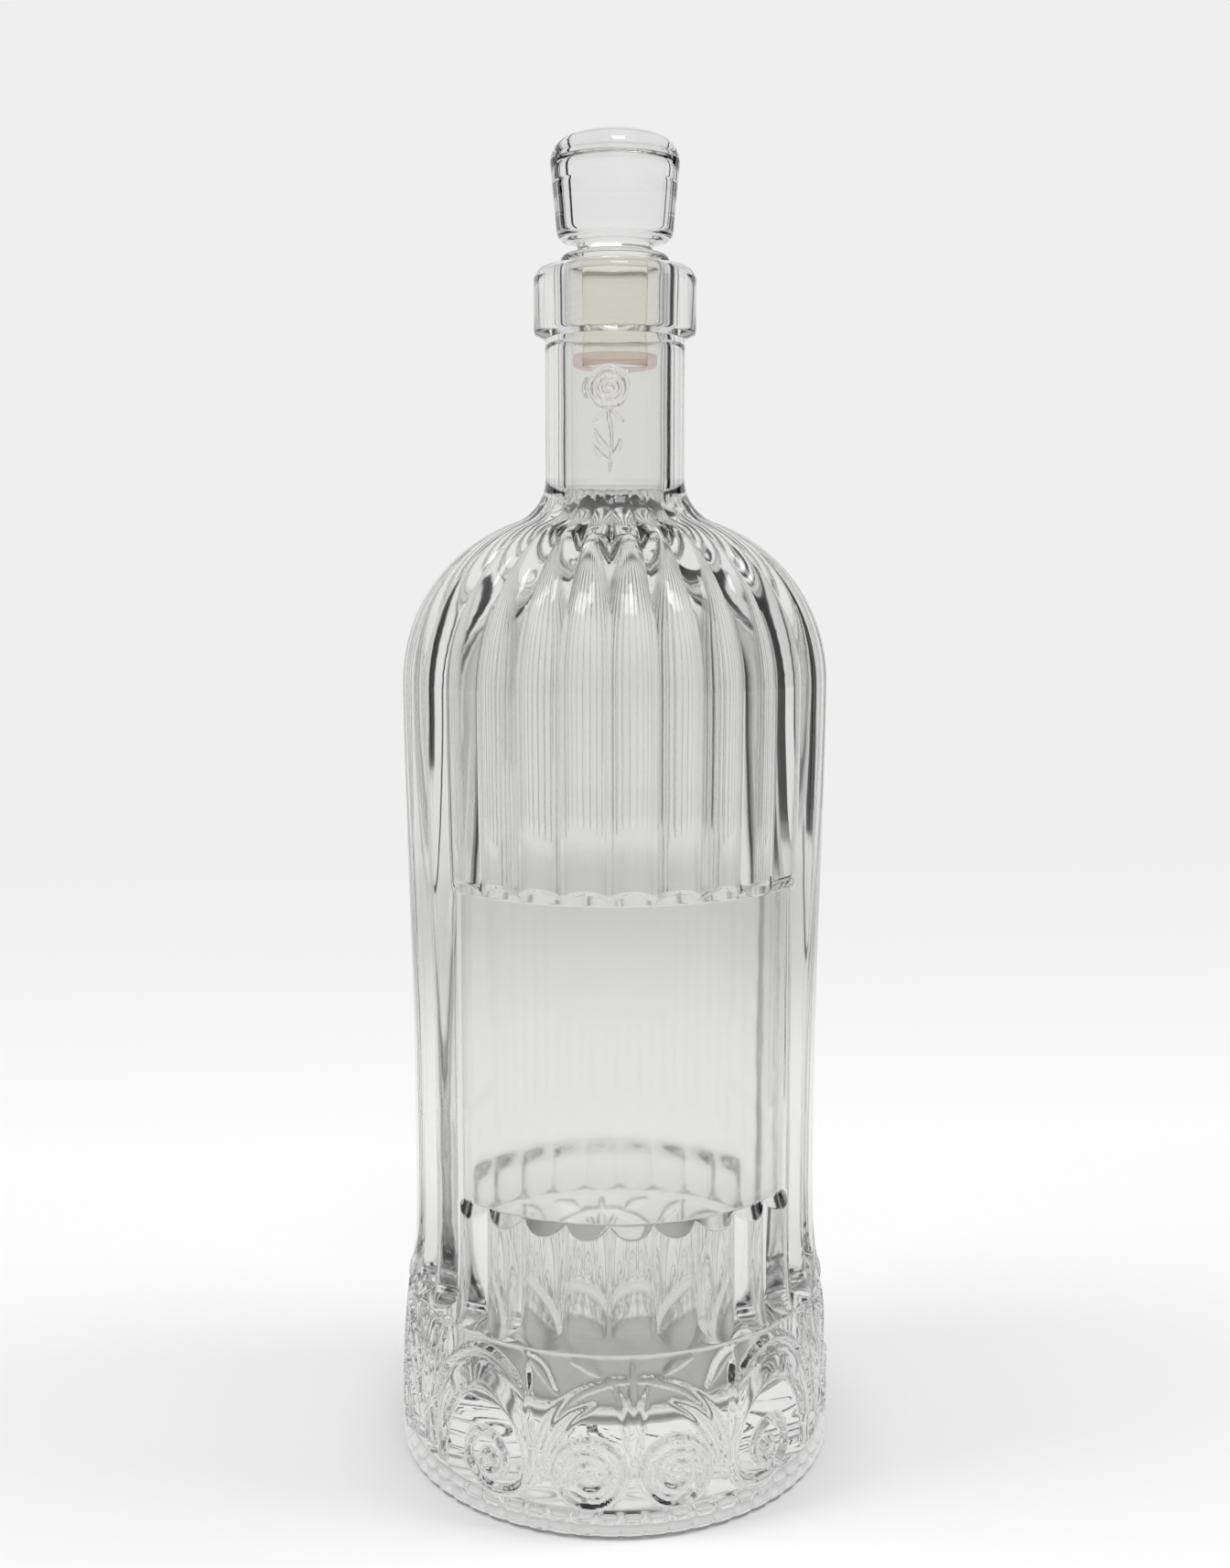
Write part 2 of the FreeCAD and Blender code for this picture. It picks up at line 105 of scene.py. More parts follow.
def spin_outline(name, outline, steps):
    """Spin (radius, height) points in mm once round the Z axis into a closed skin."""
    bpy.ops.object.select_all(action="DESELECT")
    bpy.ops.mesh.primitive_plane_add(size=MM)
    piece = bpy.context.object
    piece.name = name
    bpy.ops.object.mode_set(mode="EDIT")
    bpy.ops.mesh.select_mode(type="VERT")
    bpy.ops.mesh.select_all(action="SELECT")
    bpy.ops.mesh.merge(type="CENTER")
    bpy.ops.transform.translate(value=Vector((outline[0][0], 0.0, outline[0][1])) * MM)
    for here, there in zip(outline, outline[1:]):
        step = Vector((there[0] - here[0], 0.0, there[1] - here[1])) * MM
        bpy.ops.mesh.extrude_region_move(TRANSFORM_OT_translate={"value": step})
    bpy.ops.mesh.select_all(action="SELECT")
    bpy.ops.mesh.spin(steps=steps, angle=math.tau, center=(0, 0, 0), axis=(0, 0, 1))
    bpy.ops.mesh.select_all(action="SELECT")
    bpy.ops.mesh.remove_doubles(threshold=SAME_POINT * MM)
    bpy.ops.mesh.normals_make_consistent(inside=False)
    bpy.ops.object.mode_set(mode="OBJECT")
    return piece


def smooth(piece, angle):
    """Smooth faces, with an edge kept crisp where it turns by more than the angle."""
    bpy.ops.object.select_all(action="DESELECT")
    piece.select_set(True)
    bpy.context.view_layer.objects.active = piece
    bpy.ops.object.shade_smooth_by_angle(angle=math.radians(angle))
    print(piece.name, "faces", len(piece.data.polygons))
    return piece


# %% [markdown]
# ## The bottle's outline
#
# The outline is one closed walk: from the middle of the hollow underside out to the
# standing ring, up the outside, over the mouth and down the inside to the floor. Each
# point is one row of the mesh. A row also carries how far it leans towards the arched
# ends of the reeds, so that a crisp edge of the pattern always lies on a row of edges.

# %% Rows of the outline
PANEL_LOW, PANEL_HIGH = 58.6, 117.9
BACK_PANEL_LOW = 48.5
REED_DEPTH = 2.05
PANEL_SINK = 0.15
TOE_HEIGHT = 3.3
TOE_SHORTEST = 0.4
rows = []


def add_row(radius, height, zone, toe=0.0, low=0.0, high=0.0, normal=(1.0, 0.0), depth=0.0):
    """One row of the skin, with its share in the toes and in both ends of the panels."""
    rows.append((radius, height, zone, toe, low, high, normal[0], normal[1], depth))


UNDER, HEEL, BAND, BODY, DOME, NECK, INSIDE = range(7)
HEEL_ROUND, HEEL_HEIGHT, HEEL_STEP = 2.2, 4.4, 0.9
standing = BASE_RADIUS - HEEL_ROUND
RIM_WIDTH, PUNT_HEIGHT = 6.5, 3.4
punt_radius = standing - RIM_WIDTH
punt_ball = (punt_radius ** 2 + PUNT_HEIGHT ** 2) / (2 * PUNT_HEIGHT)
punt_lean = math.degrees(math.asin((punt_ball - PUNT_HEIGHT) / punt_ball))
for radius, height in arc(0, PUNT_HEIGHT - punt_ball, punt_ball, 90, punt_lean, 7):
    add_row(radius, height, UNDER)
add_row(punt_radius + 0.8, 0, UNDER)
for radius, height in arc(standing, HEEL_ROUND, HEEL_ROUND, -90, 0, 5):
    add_row(radius, height, HEEL)
for height in (3.0, 3.8, HEEL_HEIGHT - 0.15):
    add_row(BASE_RADIUS, height, HEEL)
add_row(BASE_RADIUS - 0.12, HEEL_HEIGHT, HEEL)


LEAN_FROM, LEAN_IN = 18.0, 1.5


def ground_radius(height):
    """Ground between the scrolls: upright, then leaning in towards the reeds' feet."""
    lean = np.clip((height - LEAN_FROM) / (BAND_HEIGHT - RELIEF - LEAN_FROM), 0, 1)
    return BASE_RADIUS - RELIEF - LEAN_IN * lean ** 1.5


BAND_ROWS = 66
for height in np.linspace(HEEL_HEIGHT + HEEL_STEP, BAND_HEIGHT - RELIEF, BAND_ROWS):
    add_row(float(ground_radius(height)), float(height), BAND)
for share in (0.35, 0.7):
    add_row(FOOT_RADIUS - RELIEF * (1 - share), BAND_HEIGHT - RELIEF * (1 - share), BAND)


# %% [markdown]
# The reeds flare at their feet, are slimmest a little above and swell slowly towards the
# shoulder. One formula gives that radius over the reeds at any height.

# %% Radius over the reeds
FLARE_RUN, SWELL_FROM = 4.5, 80.0
slim_radius = BASE_RADIUS - 3.25


def gentle(share):
    """Smooth step from 0 to 1."""
    share = np.clip(share, 0, 1)
    return share * share * (3 - 2 * share)


def crest_radius(height):
    """Radius over the reeds' crests on the upright body."""
    flare = np.exp(-(height - BAND_HEIGHT) / FLARE_RUN)
    swell = gentle((height - SWELL_FROM) / (SHOULDER_HEIGHT - SWELL_FROM))
    foot_rise, shoulder_rise = FOOT_RADIUS - slim_radius, SHOULDER_RADIUS - slim_radius
    return slim_radius + foot_rise * flare + shoulder_rise * swell


print("slimmest over the reeds:", round(float(slim_radius), 2), "mm")

# %% [markdown]
# The rows of the body follow. Near the toes and near both ends of the panels they lie
# close together, and each one leans by a share towards the line where ramp and reed meet.

# %% Rows of the reeded body

add_row(FOOT_RADIUS, BAND_HEIGHT, BODY)
for share in (0.25, 0.5, 0.75, 0.92, 1.0):
    add_row(0, BAND_HEIGHT + TOE_HEIGHT * share, BODY, toe=share)
ABOVE_TOES = ((39.0, 1.0), (39.8, 0.85), (41.0, 0.6), (43.0, 0.3), (46.0, 0.1), (50.0, 0.0),
              (53.5, 0.0))
for height, lean in ABOVE_TOES:
    add_row(0, height, BODY, toe=lean)
CREASE_SHARES = (0.0, 0.12, 0.5, 0.88, 1.0)
low_crease = PANEL_LOW - PANEL_SINK
high_crease = PANEL_HIGH + PANEL_SINK
for height, lean in ((-2.0, 0.55), (-1.1, 0.85), (-0.25, 1.0)):
    add_row(0, low_crease + height, BODY, low=lean)
for share in CREASE_SHARES:
    add_row(0, low_crease + PANEL_SINK * share, BODY, low=1 - share)
for height in (58.9, 60.5, 65, 75, 88, 101, 111, 116, 117.6):
    add_row(0, height, BODY)
for share in CREASE_SHARES[::-1]:
    add_row(0, high_crease - PANEL_SINK * share, BODY, high=1 - share)
for height, lean in ((0.25, 1.0), (1.1, 0.85), (2.0, 0.55), (3.4, 0.25)):
    add_row(0, high_crease + height, BODY, high=lean)
for height in (124, 130, 137, 143, 149):
    add_row(0, height, BODY)

# %% [markdown]
# Over the shoulder the reeds are drawn together like the ribs of a pumpkin. The depth of a
# reed can't grow past its own width, and it fades out where the shoulder turns up into the
# neck. The neck ends in a heavy ring, which on a pressed bottle is called the finish.

# %% Rows of the shoulder
REED_COUNT = 30
REED_FULLNESS = 0.40
REED_FADE = (14.5, 33.0)
reach = DOME_RADIUS + NECK_FILLET
dome_lean = math.acos((NECK_RADIUS + NECK_FILLET - dome_centre) / reach)
fillet_height = SHOULDER_HEIGHT + reach * math.sin(dome_lean)


def reed_depth(radius):
    """Depth of the reeds over the shoulder, which fades out towards the neck."""
    fade = min(max((radius - REED_FADE[0]) / (REED_FADE[1] - REED_FADE[0]), 0), 1) ** 0.7
    return min(REED_DEPTH, REED_FULLNESS * math.tau * radius / REED_COUNT) * fade


DOME_ROWS = 22
for turn in np.linspace(0, dome_lean, DOME_ROWS):
    radius = dome_centre + DOME_RADIUS * math.cos(turn)
    height = SHOULDER_HEIGHT + DOME_RADIUS * math.sin(turn)
    outward = (math.cos(turn), math.sin(turn))
    add_row(radius, height, DOME, normal=outward, depth=reed_depth(radius))
FILLET_ROWS = 9
for share in np.linspace(0, 1, FILLET_ROWS + 1)[1:]:
    turn = dome_lean * (1 - share)
    radius = NECK_RADIUS + NECK_FILLET * (1 - math.cos(turn))
    height = fillet_height - NECK_FILLET * math.sin(turn)
    outward = (math.cos(turn), math.sin(turn))
    add_row(radius, height, DOME, normal=outward, depth=reed_depth(radius) * (1 - share) ** 1.3)

print("the shoulder turns up into the neck at", round(fillet_height, 2), "mm")

# %% [markdown]
# The neck has many rows where the rose stands on it. The ring has a narrow round at its
# lower edge and a wide one at its upper edge.

# %% Rows of the neck and the ring
ROSE_LOW, ROSE_HIGH, ROSE_ROWS = 195.1, 216.4, 62
for height in np.linspace(ROSE_LOW, ROSE_HIGH, ROSE_ROWS):
    add_row(NECK_RADIUS, float(height), NECK)
RING_ROUND, RING_LOW_ROUND = 2.2, 1.0
ring_low = MOUTH_HEIGHT - RING_DEPTH
add_row(NECK_RADIUS, 219.0, NECK)
add_row(NECK_RADIUS, ring_low - 0.15, NECK)
add_row(NECK_RADIUS + 0.15, ring_low, NECK)
for radius, height in arc(RING_RADIUS - RING_LOW_ROUND, ring_low + 1.5, RING_LOW_ROUND, -50, 0, 3):
    add_row(radius, height, NECK)
add_row(RING_RADIUS, MOUTH_HEIGHT - 6, NECK)
ring_shoulder = MOUTH_HEIGHT - RING_ROUND
for radius, height in arc(RING_RADIUS - RING_ROUND, ring_shoulder, RING_ROUND, 0, 90, 7):
    add_row(radius, height, NECK)
MOUTH_ROUND = 0.8
mouth_low = MOUTH_HEIGHT - MOUTH_ROUND
add_row(BORE_RADIUS + 1.8, MOUTH_HEIGHT, INSIDE)
for radius, height in arc(BORE_RADIUS + MOUTH_ROUND, mouth_low, MOUTH_ROUND, 90, 180, 4):
    add_row(radius, height, INSIDE)

# %% [markdown]
# The inside was shaped by air, not by the mould, so it is plain: a straight bore that
# opens into a smooth vault, a cylinder, and a heavy floor with a round corner.

# %% Rows of the inside
LABEL_WALL = 2.3
INNER_FILLET = 9.5
FLOOR_HEIGHT, FLOOR_CORNER = 17.0, 9.0
inner_radius = BASE_RADIUS - 3.2 - REED_DEPTH - PANEL_SINK - LABEL_WALL
inner_dome = inner_radius - dome_centre
inner_reach = inner_dome + INNER_FILLET
inner_lean = math.degrees(math.acos((BORE_RADIUS + INNER_FILLET - dome_centre) / inner_reach))
inner_fillet_height = SHOULDER_HEIGHT + inner_reach * math.sin(math.radians(inner_lean))
for height in (228.0, 216.0, 204.0, 196.0):
    add_row(BORE_RADIUS, height, INSIDE)
fillet_centre = BORE_RADIUS + INNER_FILLET
inner_fillet = arc(fillet_centre, inner_fillet_height, INNER_FILLET, 180, 180 + inner_lean, 9)
inner_vault = arc(dome_centre, SHOULDER_HEIGHT, inner_dome, inner_lean, 0, 14)
for radius, height in inner_fillet + inner_vault[1:]:
    add_row(radius, height, INSIDE)
for height in (140.0, 118.0, 90.0, 60.0, 38.0):
    add_row(inner_radius, height, INSIDE)
corner = arc(inner_radius - FLOOR_CORNER, FLOOR_HEIGHT + FLOOR_CORNER, FLOOR_CORNER, 0, -90, 8)
for radius, height in corner:
    add_row(radius, height, INSIDE)
for radius in (18.0, 9.0, 0.0):
    add_row(radius, FLOOR_HEIGHT, INSIDE)
print("rows in the outline:", len(rows))

# %% [markdown]
# ## Turning the skin
#
# The Spin operator gives 120 columns, enough for the plain inside. The pattern needs more,
# so the level edges of the outside are selected by their place and subdivided: into three
# over the body, and into five in the scroll band and behind the rose. Rows of the body have
# no radius of their own yet, so the skin is spun with the crest radius and shaped later.

# %% Spin the bottle and divide its outside
COLUMNS = 120
row_table = np.array([row[:2] + row[3:] for row in rows], float)
row_zone = np.array([row[2] for row in rows])
body_rows = row_zone == BODY
row_table[body_rows, 0] = crest_radius(row_table[body_rows, 1])
bottle = spin_outline("glass_bottle", [tuple(row) for row in row_table[:, :2]], COLUMNS)


def vertex_places(piece):
    """Radius, height and azimuth from the front of every vertex, in mm and radians."""
    flat = np.empty(len(piece.data.vertices) * 3)
    piece.data.vertices.foreach_get("co", flat)
    x, y, z = flat.reshape(-1, 3).T / MM
    return np.hypot(x, y), z, np.arctan2(x, -y)


def nearest_row(radius, height):
    """Which row of the outline each vertex was spun from."""
    found = np.empty(len(radius), int)
    for first in range(0, len(radius), 20000):
        part = slice(first, first + 20000)
        aside = radius[part, None] - row_table[:, 0]
        above = height[part, None] - row_table[:, 1]
        found[part] = (aside ** 2 + above ** 2).argmin(1)
    return found


def divide_level_edges(piece, zones, cuts, middle=0.0, reach=math.pi):
    """Subdivide the edges that run round the bottle in some zones, near an azimuth."""
    radius, height, azimuth = vertex_places(piece)
    row = nearest_row(radius, height)
    near = np.abs(azimuth - middle) < reach + 1e-4
    ends = np.empty(len(piece.data.edges) * 2, int)
    piece.data.edges.foreach_get("vertices", ends)
    first, second = ends.reshape(-1, 2).T
    level = (row[first] == row[second]) & np.isin(row_zone[row[first]], zones)
    level &= near[first] & near[second]
    bpy.ops.object.mode_set(mode="EDIT")
    bpy.ops.mesh.select_mode(type="EDGE")
    bpy.ops.mesh.select_all(action="DESELECT")
    bpy.ops.object.mode_set(mode="OBJECT")
    piece.data.edges.foreach_set("select", level)
    bpy.ops.object.mode_set(mode="EDIT")
    bpy.ops.mesh.subdivide(number_cuts=cuts)
    bpy.ops.object.mode_set(mode="OBJECT")


ROSE_AZIMUTH = math.radians(-9.5)
ROSE_REACH = math.radians(34.5)
FINE_CUTS, REED_CUTS = 4, 2
divide_level_edges(bottle, (HEEL, BAND), FINE_CUTS)
divide_level_edges(bottle, (BODY, DOME), REED_CUTS)
divide_level_edges(bottle, (NECK,), FINE_CUTS, ROSE_AZIMUTH, ROSE_REACH)
print("vertices:", len(bottle.data.vertices))

# %% [markdown]
# ## The pressed pattern
#
# A reed is half round: across its width the skin follows a circle. The columns are moved
# together near the valleys, where the circle is steepest. Where a smooth panel cuts the
# reeds, they end in a 45 degree ramp, and the meeting line of ramp and reed is an arch.
# Below, each valley ends on a small pointed toe.

# %% Reeds and panels
REED_ANGLE = math.radians(51)
PANEL_REEDS = 9
reed_pitch = math.tau / REED_COUNT
panel_half = PANEL_REEDS * reed_pitch / 2
panel_radius = inner_radius + LABEL_WALL
print("panel radius", round(panel_radius, 2), "mm, half", round(math.degrees(panel_half)), "deg")


def reed_place(azimuth):
    """Place across the reed from -1 to 1, and the azimuth of that reed's middle."""
    number = np.round(azimuth / reed_pitch)
    return (azimuth - number * reed_pitch) / (reed_pitch / 2), number * reed_pitch


def reed_round(across):
    """Height of the half-round reed, 1 on the crest and 0 in the valley."""
    floor = math.cos(REED_ANGLE)
    return (np.sqrt(1 - (across * math.sin(REED_ANGLE)) ** 2) - floor) / (1 - floor)


def in_panel(azimuth):
    """True across the front and the back panel."""
    from_front = np.abs(azimuth)
    return np.minimum(from_front, math.pi - from_front) < panel_half - 1e-4


# %% [markdown]
# The toe is a slope that starts at the foot's radius. It meets a reed's crest low down and
# the valley between two reeds higher up. That height has no short formula, so the interval
# between the band and the highest toe is halved until it is found.

# %% Toes of the reeds
TOE_SLOPE, HALVINGS = 0.9, 20


def toe_height(full):
    """Height above the band where the sloped toe meets a reed of this roundness."""
    low = np.zeros_like(full)
    high = np.full_like(full, TOE_HEIGHT)
    for _ in range(HALVINGS):
        middle = (low + high) / 2
        reed = crest_radius(BAND_HEIGHT + middle) - REED_DEPTH * (1 - full)
        above = FOOT_RADIUS - TOE_SLOPE * middle > reed
        low = np.where(above, middle, low)
        high = np.where(above, high, middle)
    return np.maximum(low, TOE_SHORTEST)


# %% [markdown]
# The back panel reaches lower than the front one, so its rows move down. Seen through two
# more walls of glass, its edges are soft: there the reeds rise out of the panel over a few
# millimetres instead of ending in a ramp, and the short reeds below it are shallow.

# %% Shape of the reeded body
DROP_ROWS = (43.0, 53.5, 56.0, 58.8, 88.0)
DROP_SHARES = (0.0, 0.88, 1.0, 1.0, 0.0)
BACK_SHORT_DEPTH = 0.45
BACK_EDGE_RUN = 6.0


def back_drop(azimuth, height):
    """How far a row moves down at the back, where the panel's lower edge lies lower."""
    aside = math.pi - np.abs(azimuth) - panel_half
    share = np.clip(1 - aside / reed_pitch, 0, 1) * np.interp(height, DROP_ROWS, DROP_SHARES)
    return share * (PANEL_LOW - BACK_PANEL_LOW)


def body_shape(azimuth, table):
    """Radius and height of the body's vertices, from their rows and azimuths."""
    height, toe, low, high = table[:, 1], table[:, 2], table[:, 3], table[:, 4]
    full = reed_round(reed_place(azimuth)[0])
    panel = in_panel(azimuth)
    at_back = panel & (np.abs(azimuth) > math.pi / 2)
    arch = np.where(panel & ~at_back, REED_DEPTH * full, 0)
    toe_drop = toe * (TOE_HEIGHT - toe_height(full))
    height = height - toe_drop - low * arch + high * arch - back_drop(azimuth, height)
    rising = np.interp(height, (BACK_PANEL_LOW, PANEL_LOW), (BACK_SHORT_DEPTH, 1.0))
    radius = crest_radius(height) - REED_DEPTH * np.where(at_back, rising, 1.0) * (1 - full)
    ramp = np.maximum(np.maximum(PANEL_LOW - height, height - PANEL_HIGH), 0)
    front = np.minimum(radius, panel_radius + ramp)
    past_edge = np.maximum(BACK_PANEL_LOW + 1 - height, height - PANEL_HIGH + 1)
    back = panel_radius + (radius - panel_radius) * gentle(past_edge / BACK_EDGE_RUN)
    radius = np.where(at_back, back, np.where(panel, front, radius))
    toe_radius = FOOT_RADIUS - TOE_SLOPE * (height - BAND_HEIGHT)
    return np.maximum(radius, toe_radius), height


# %% [markdown]
# ## The scroll band
#
# The ornament is a row of ridges, so it is drawn the way a mould cutter draws it: as
# strokes with a path and a width. Each stroke is half round. The drawing covers a quarter
# of the band, and the azimuth is folded so that the other three are its mirror images.

# %% Strokes for raised ornament
DEGREE = BASE_RADIUS * math.radians(1)


def curve_through(points, steps=10):
    """Smooth path through the given points (Catmull-Rom)."""
    points = np.array(points, float)
    padded = np.vstack([2 * points[0] - points[1], points, 2 * points[-1] - points[-2]])
    path = []
    for number in range(len(points) - 1):
        a, b, c, d = padded[number:number + 4]
        square, cube = 2 * a - 5 * b + 4 * c - d, 3 * b - a - 3 * c + d
        for t in np.linspace(0, 1, steps, endpoint=False):
            path.append(0.5 * (2 * b + (c - a) * t + square * t ** 2 + cube * t ** 3))
    path.append(points[-1])
    return np.array(path)


def half_round(share):
    """Profile of a plain ridge, from its middle (0) to its edge (1)."""
    return np.sqrt(np.clip(1 - share ** 2, 0, 1))


def stroke(across, up, points, steps=10, profile=half_round):
    """Ridge along a path of (across, up, width) points; 1 on its crest."""
    path = curve_through(points, steps)
    best = np.zeros(len(across))
    for start, end in zip(path, path[1:]):
        run = end[:2] - start[:2]
        along = ((across - start[0]) * run[0] + (up - start[1]) * run[1]) / max(run @ run, 1e-9)
        along = np.clip(along, 0, 1)
        gap = np.hypot(across - start[0] - along * run[0], up - start[1] - along * run[1])
        half = (start[2] + along * (end[2] - start[2])) / 2
        best = np.maximum(best, profile(gap / half))
    return best


def coil(eye, places):
    """Path round an eye from (degrees, radius, width) places, in mm."""
    points = []
    for degrees, radius, width in places:
        turn = math.radians(degrees)
        points.append((eye[0] + radius * math.cos(turn), eye[1] + radius * math.sin(turn), width))
    return points


def along_band(drawing):
    """Path from (degrees, height, width) places on the band, in mm."""
    return [(degrees * DEGREE, height, width) for degrees, height, width in drawing]


# %% [markdown]
# The front of the band has two small volutes under a pair of arches with a fan of leaves
# between them, then a large scroll on each side, and a spray that leads to the next group.
# Distances across are measured in millimetres along the band.

# %% The small volutes
EYE_HEIGHT = 12.3


def dome(across, up, centre, radius):
    """Round knob of the given radius."""
    gap = np.hypot(across - centre[0], up - centre[1])
    return np.sqrt(np.clip(1 - (gap / radius) ** 2, 0, 1))


def small_group(across, up):
    """Right half of a group: volute, arch with its leaf, fan and side leaf."""
    eye = (11 * DEGREE, EYE_HEIGHT)
    from_eye = np.hypot(across - eye[0], up - eye[1])
    shape = 0.35 * np.clip((6.7 - from_eye) / 0.4, 0, 1)
    rim = [(angle, 6.45, 1.1) for angle in range(150, 541, 30)]
    second = [(40, 5.3, 0.5), (80, 5.5, 0.9), (130, 5.4, 1.0), (180, 5.2, 1.0), (230, 5.1, 0.8),
              (265, 5.2, 0.5)]
    spiral = [(-40, 5.6, 0.6), (0, 4.9, 1.2), (45, 4.5, 1.5), (90, 4.1, 1.6), (135, 3.9, 1.5),
              (180, 3.7, 1.4), (225, 3.4, 1.3), (270, 3.1, 1.2), (315, 2.8, 1.1), (360, 2.5, 1.0),
              (405, 2.3, 0.9), (450, 2.1, 0.8)]
    for places, rise in ((rim, 1), (second, 0.75), (spiral, 1)):
        shape = np.maximum(shape, rise * stroke(across, up, coil(eye, places), 4))
    shape = np.maximum(shape, 0.6 * dome(across, up, eye, 1.5))
    arch = [(24.5, 10.5, 1.2), (23.6, 16.5, 1.9), (19.5, 23.5, 2.0), (13, 28.0, 2.0),
            (5, 30.2, 1.8), (1.6, 30.4, 1.4)]
    leaf = [(23.5, 11.5, 0.8), (20.2, 17.5, 1.5), (15.5, 22.6, 1.6), (10, 25.6, 0.8)]
    fan = [(0.6, 11.5, 1.3), (0.9, 18.0, 1.5), (2.2, 24.5, 1.9), (5.6, 31.0, 1.0)]
    frond = [(0, 12.0, 1.0), (0, 20.0, 1.5), (0, 28.0, 2.0), (0, 33.5, 0.8)]
    blade = [(26.5, 19.5, 1.0), (27.2, 27.0, 1.8), (27.5, 34.0, 1.0)]
    petal = [(19.5, 27.5, 0.8), (23.5, 31.5, 2.6), (28.5, 34.3, 0.8)]
    bud = [(8, 31.0, 0.8), (11, 32.6, 2.4), (15.5, 33.6, 0.8)]
    leaves = ((arch, 1), (leaf, 0.7), (fan, 0.85), (frond, 0.9), (blade, 0.9), (petal, 0.75),
              (bud, 0.6))
    for drawing, rise in leaves:
        shape = np.maximum(shape, rise * stroke(across, up, along_band(drawing)))
    return shape


# %% [markdown]
# The large scroll is one long arm. A thin line follows it outside, and where the arm winds
# in to its eye there is a small round knob. The spray beside it is four upright blades.

# %% The large scrolls and the sprays
def large_scroll(across, up):
    """A long arm that sweeps up from the far side, over the top and winds in to its eye."""
    eye = (38, 12.0)
    arm = [(55.5, 7.5, 1.6), (55.4, 14, 3.0), (52.8, 20.5, 4.2), (47.5, 25.8, 5.0),
           (40.5, 27.6, 5.4), (33.5, 25.4, 4.8), (28.2, 20.5, 3.8), (26.3, 14, 2.6),
           (27.6, 8.9, 2.0), (31.5, 6.6, 1.8), (36.5, 6.0, 1.7), (41, 7.0, 1.6),
           (44.6, 10.0, 1.5), (44.6, 13.8, 1.4), (41.2, 16.8, 1.3), (36.9, 16.6, 1.3),
           (33.8, 14.0, 1.2), (34.0, 10.8, 1.2), (37.2, 9.2, 1.1), (40.2, 10.6, 1.0)]
    outer = [(57.6, 11, 0.7), (58.0, 17, 1.0), (55.4, 24.5, 1.2), (49, 30.2, 1.3), (41, 32.6, 1.3),
             (33, 30.6, 1.2), (27.5, 26.2, 0.9)]
    shape = stroke(across, up, along_band(arm), 8)
    shape = np.maximum(shape, 0.8 * stroke(across, up, along_band(outer), 8))
    return np.maximum(shape, dome(across, up, (eye[0] * DEGREE, eye[1]), 1.8))


SPRAY_MIDDLE = 61.5
SPRAY_BLADE = ((0.15, 9.0, 1.2), (0.5, 19.0, 1.8), (1, 29.0, 2.2), (1.35, 33.8, 0.8))


def spray(across, up):
    """Upright fan between a large scroll and the group at the side."""
    shape = np.zeros(len(across))
    for lean in (-4.5, -1.8, 1.8, 4.5):
        blade = [(SPRAY_MIDDLE + lean * share, *place) for share, *place in SPRAY_BLADE]
        shape = np.maximum(shape, stroke(across, up, along_band(blade)))
    return shape


def band_relief(azimuth, height):
    """Height of the ornament from 0 to 1, with the azimuth folded into one quarter."""
    folded = np.abs(azimuth)
    folded = np.degrees(np.minimum(folded, math.pi - folded))
    across = folded * DEGREE
    shape = np.maximum(small_group(across, height), large_scroll(across, height))
    shape = np.maximum(shape, small_group((90 - folded) * DEGREE, height))
    return np.maximum(shape, spray(across, height))


# %% [markdown]
# The heel under the band is nicked all round, a grip that also keeps the hot bottle from
# sliding on the conveyor. Each nick is a small upright V.

# %% Nicks in the heel
NICKS = 60
NICK_DEPTH, NICK_HALF_WIDTH = 0.7, 0.9


def heel_nicks(azimuth, height):
    """Depth of the nicks, which fade out at the heel's upper edge and on its round."""
    pitch = math.tau / NICKS
    gap = np.abs((azimuth / pitch) % 1.0 - 0.5) * pitch * BASE_RADIUS
    nick = np.clip(1 - gap / NICK_HALF_WIDTH, 0, 1)
    fade = np.clip((HEEL_HEIGHT - height) / 0.3, 0, 1) * np.clip(height / 0.8, 0, 1)
    return NICK_DEPTH * nick * fade


# %% [markdown]
# A small rose stands on the neck. It is a common ornament on pressed glass: a bloom of
# overlapping petals, a few sepals, a stem and leaves, each again a half-round stroke.

# %% The rose on the neck
ROSE_HEIGHT = 210.7
ROSE_RELIEF = 0.8


def petal_ring(count, first, across, up, ends):
    """Petals round the bloom, each an arc from its left over its middle to its right end."""
    petals = []
    for number in range(count):
        middle = math.tau * number / count + first
        petals.append([(across * math.cos(middle + turn), up * math.sin(middle + turn), width)
                       for turn, width in ends])
    return petals


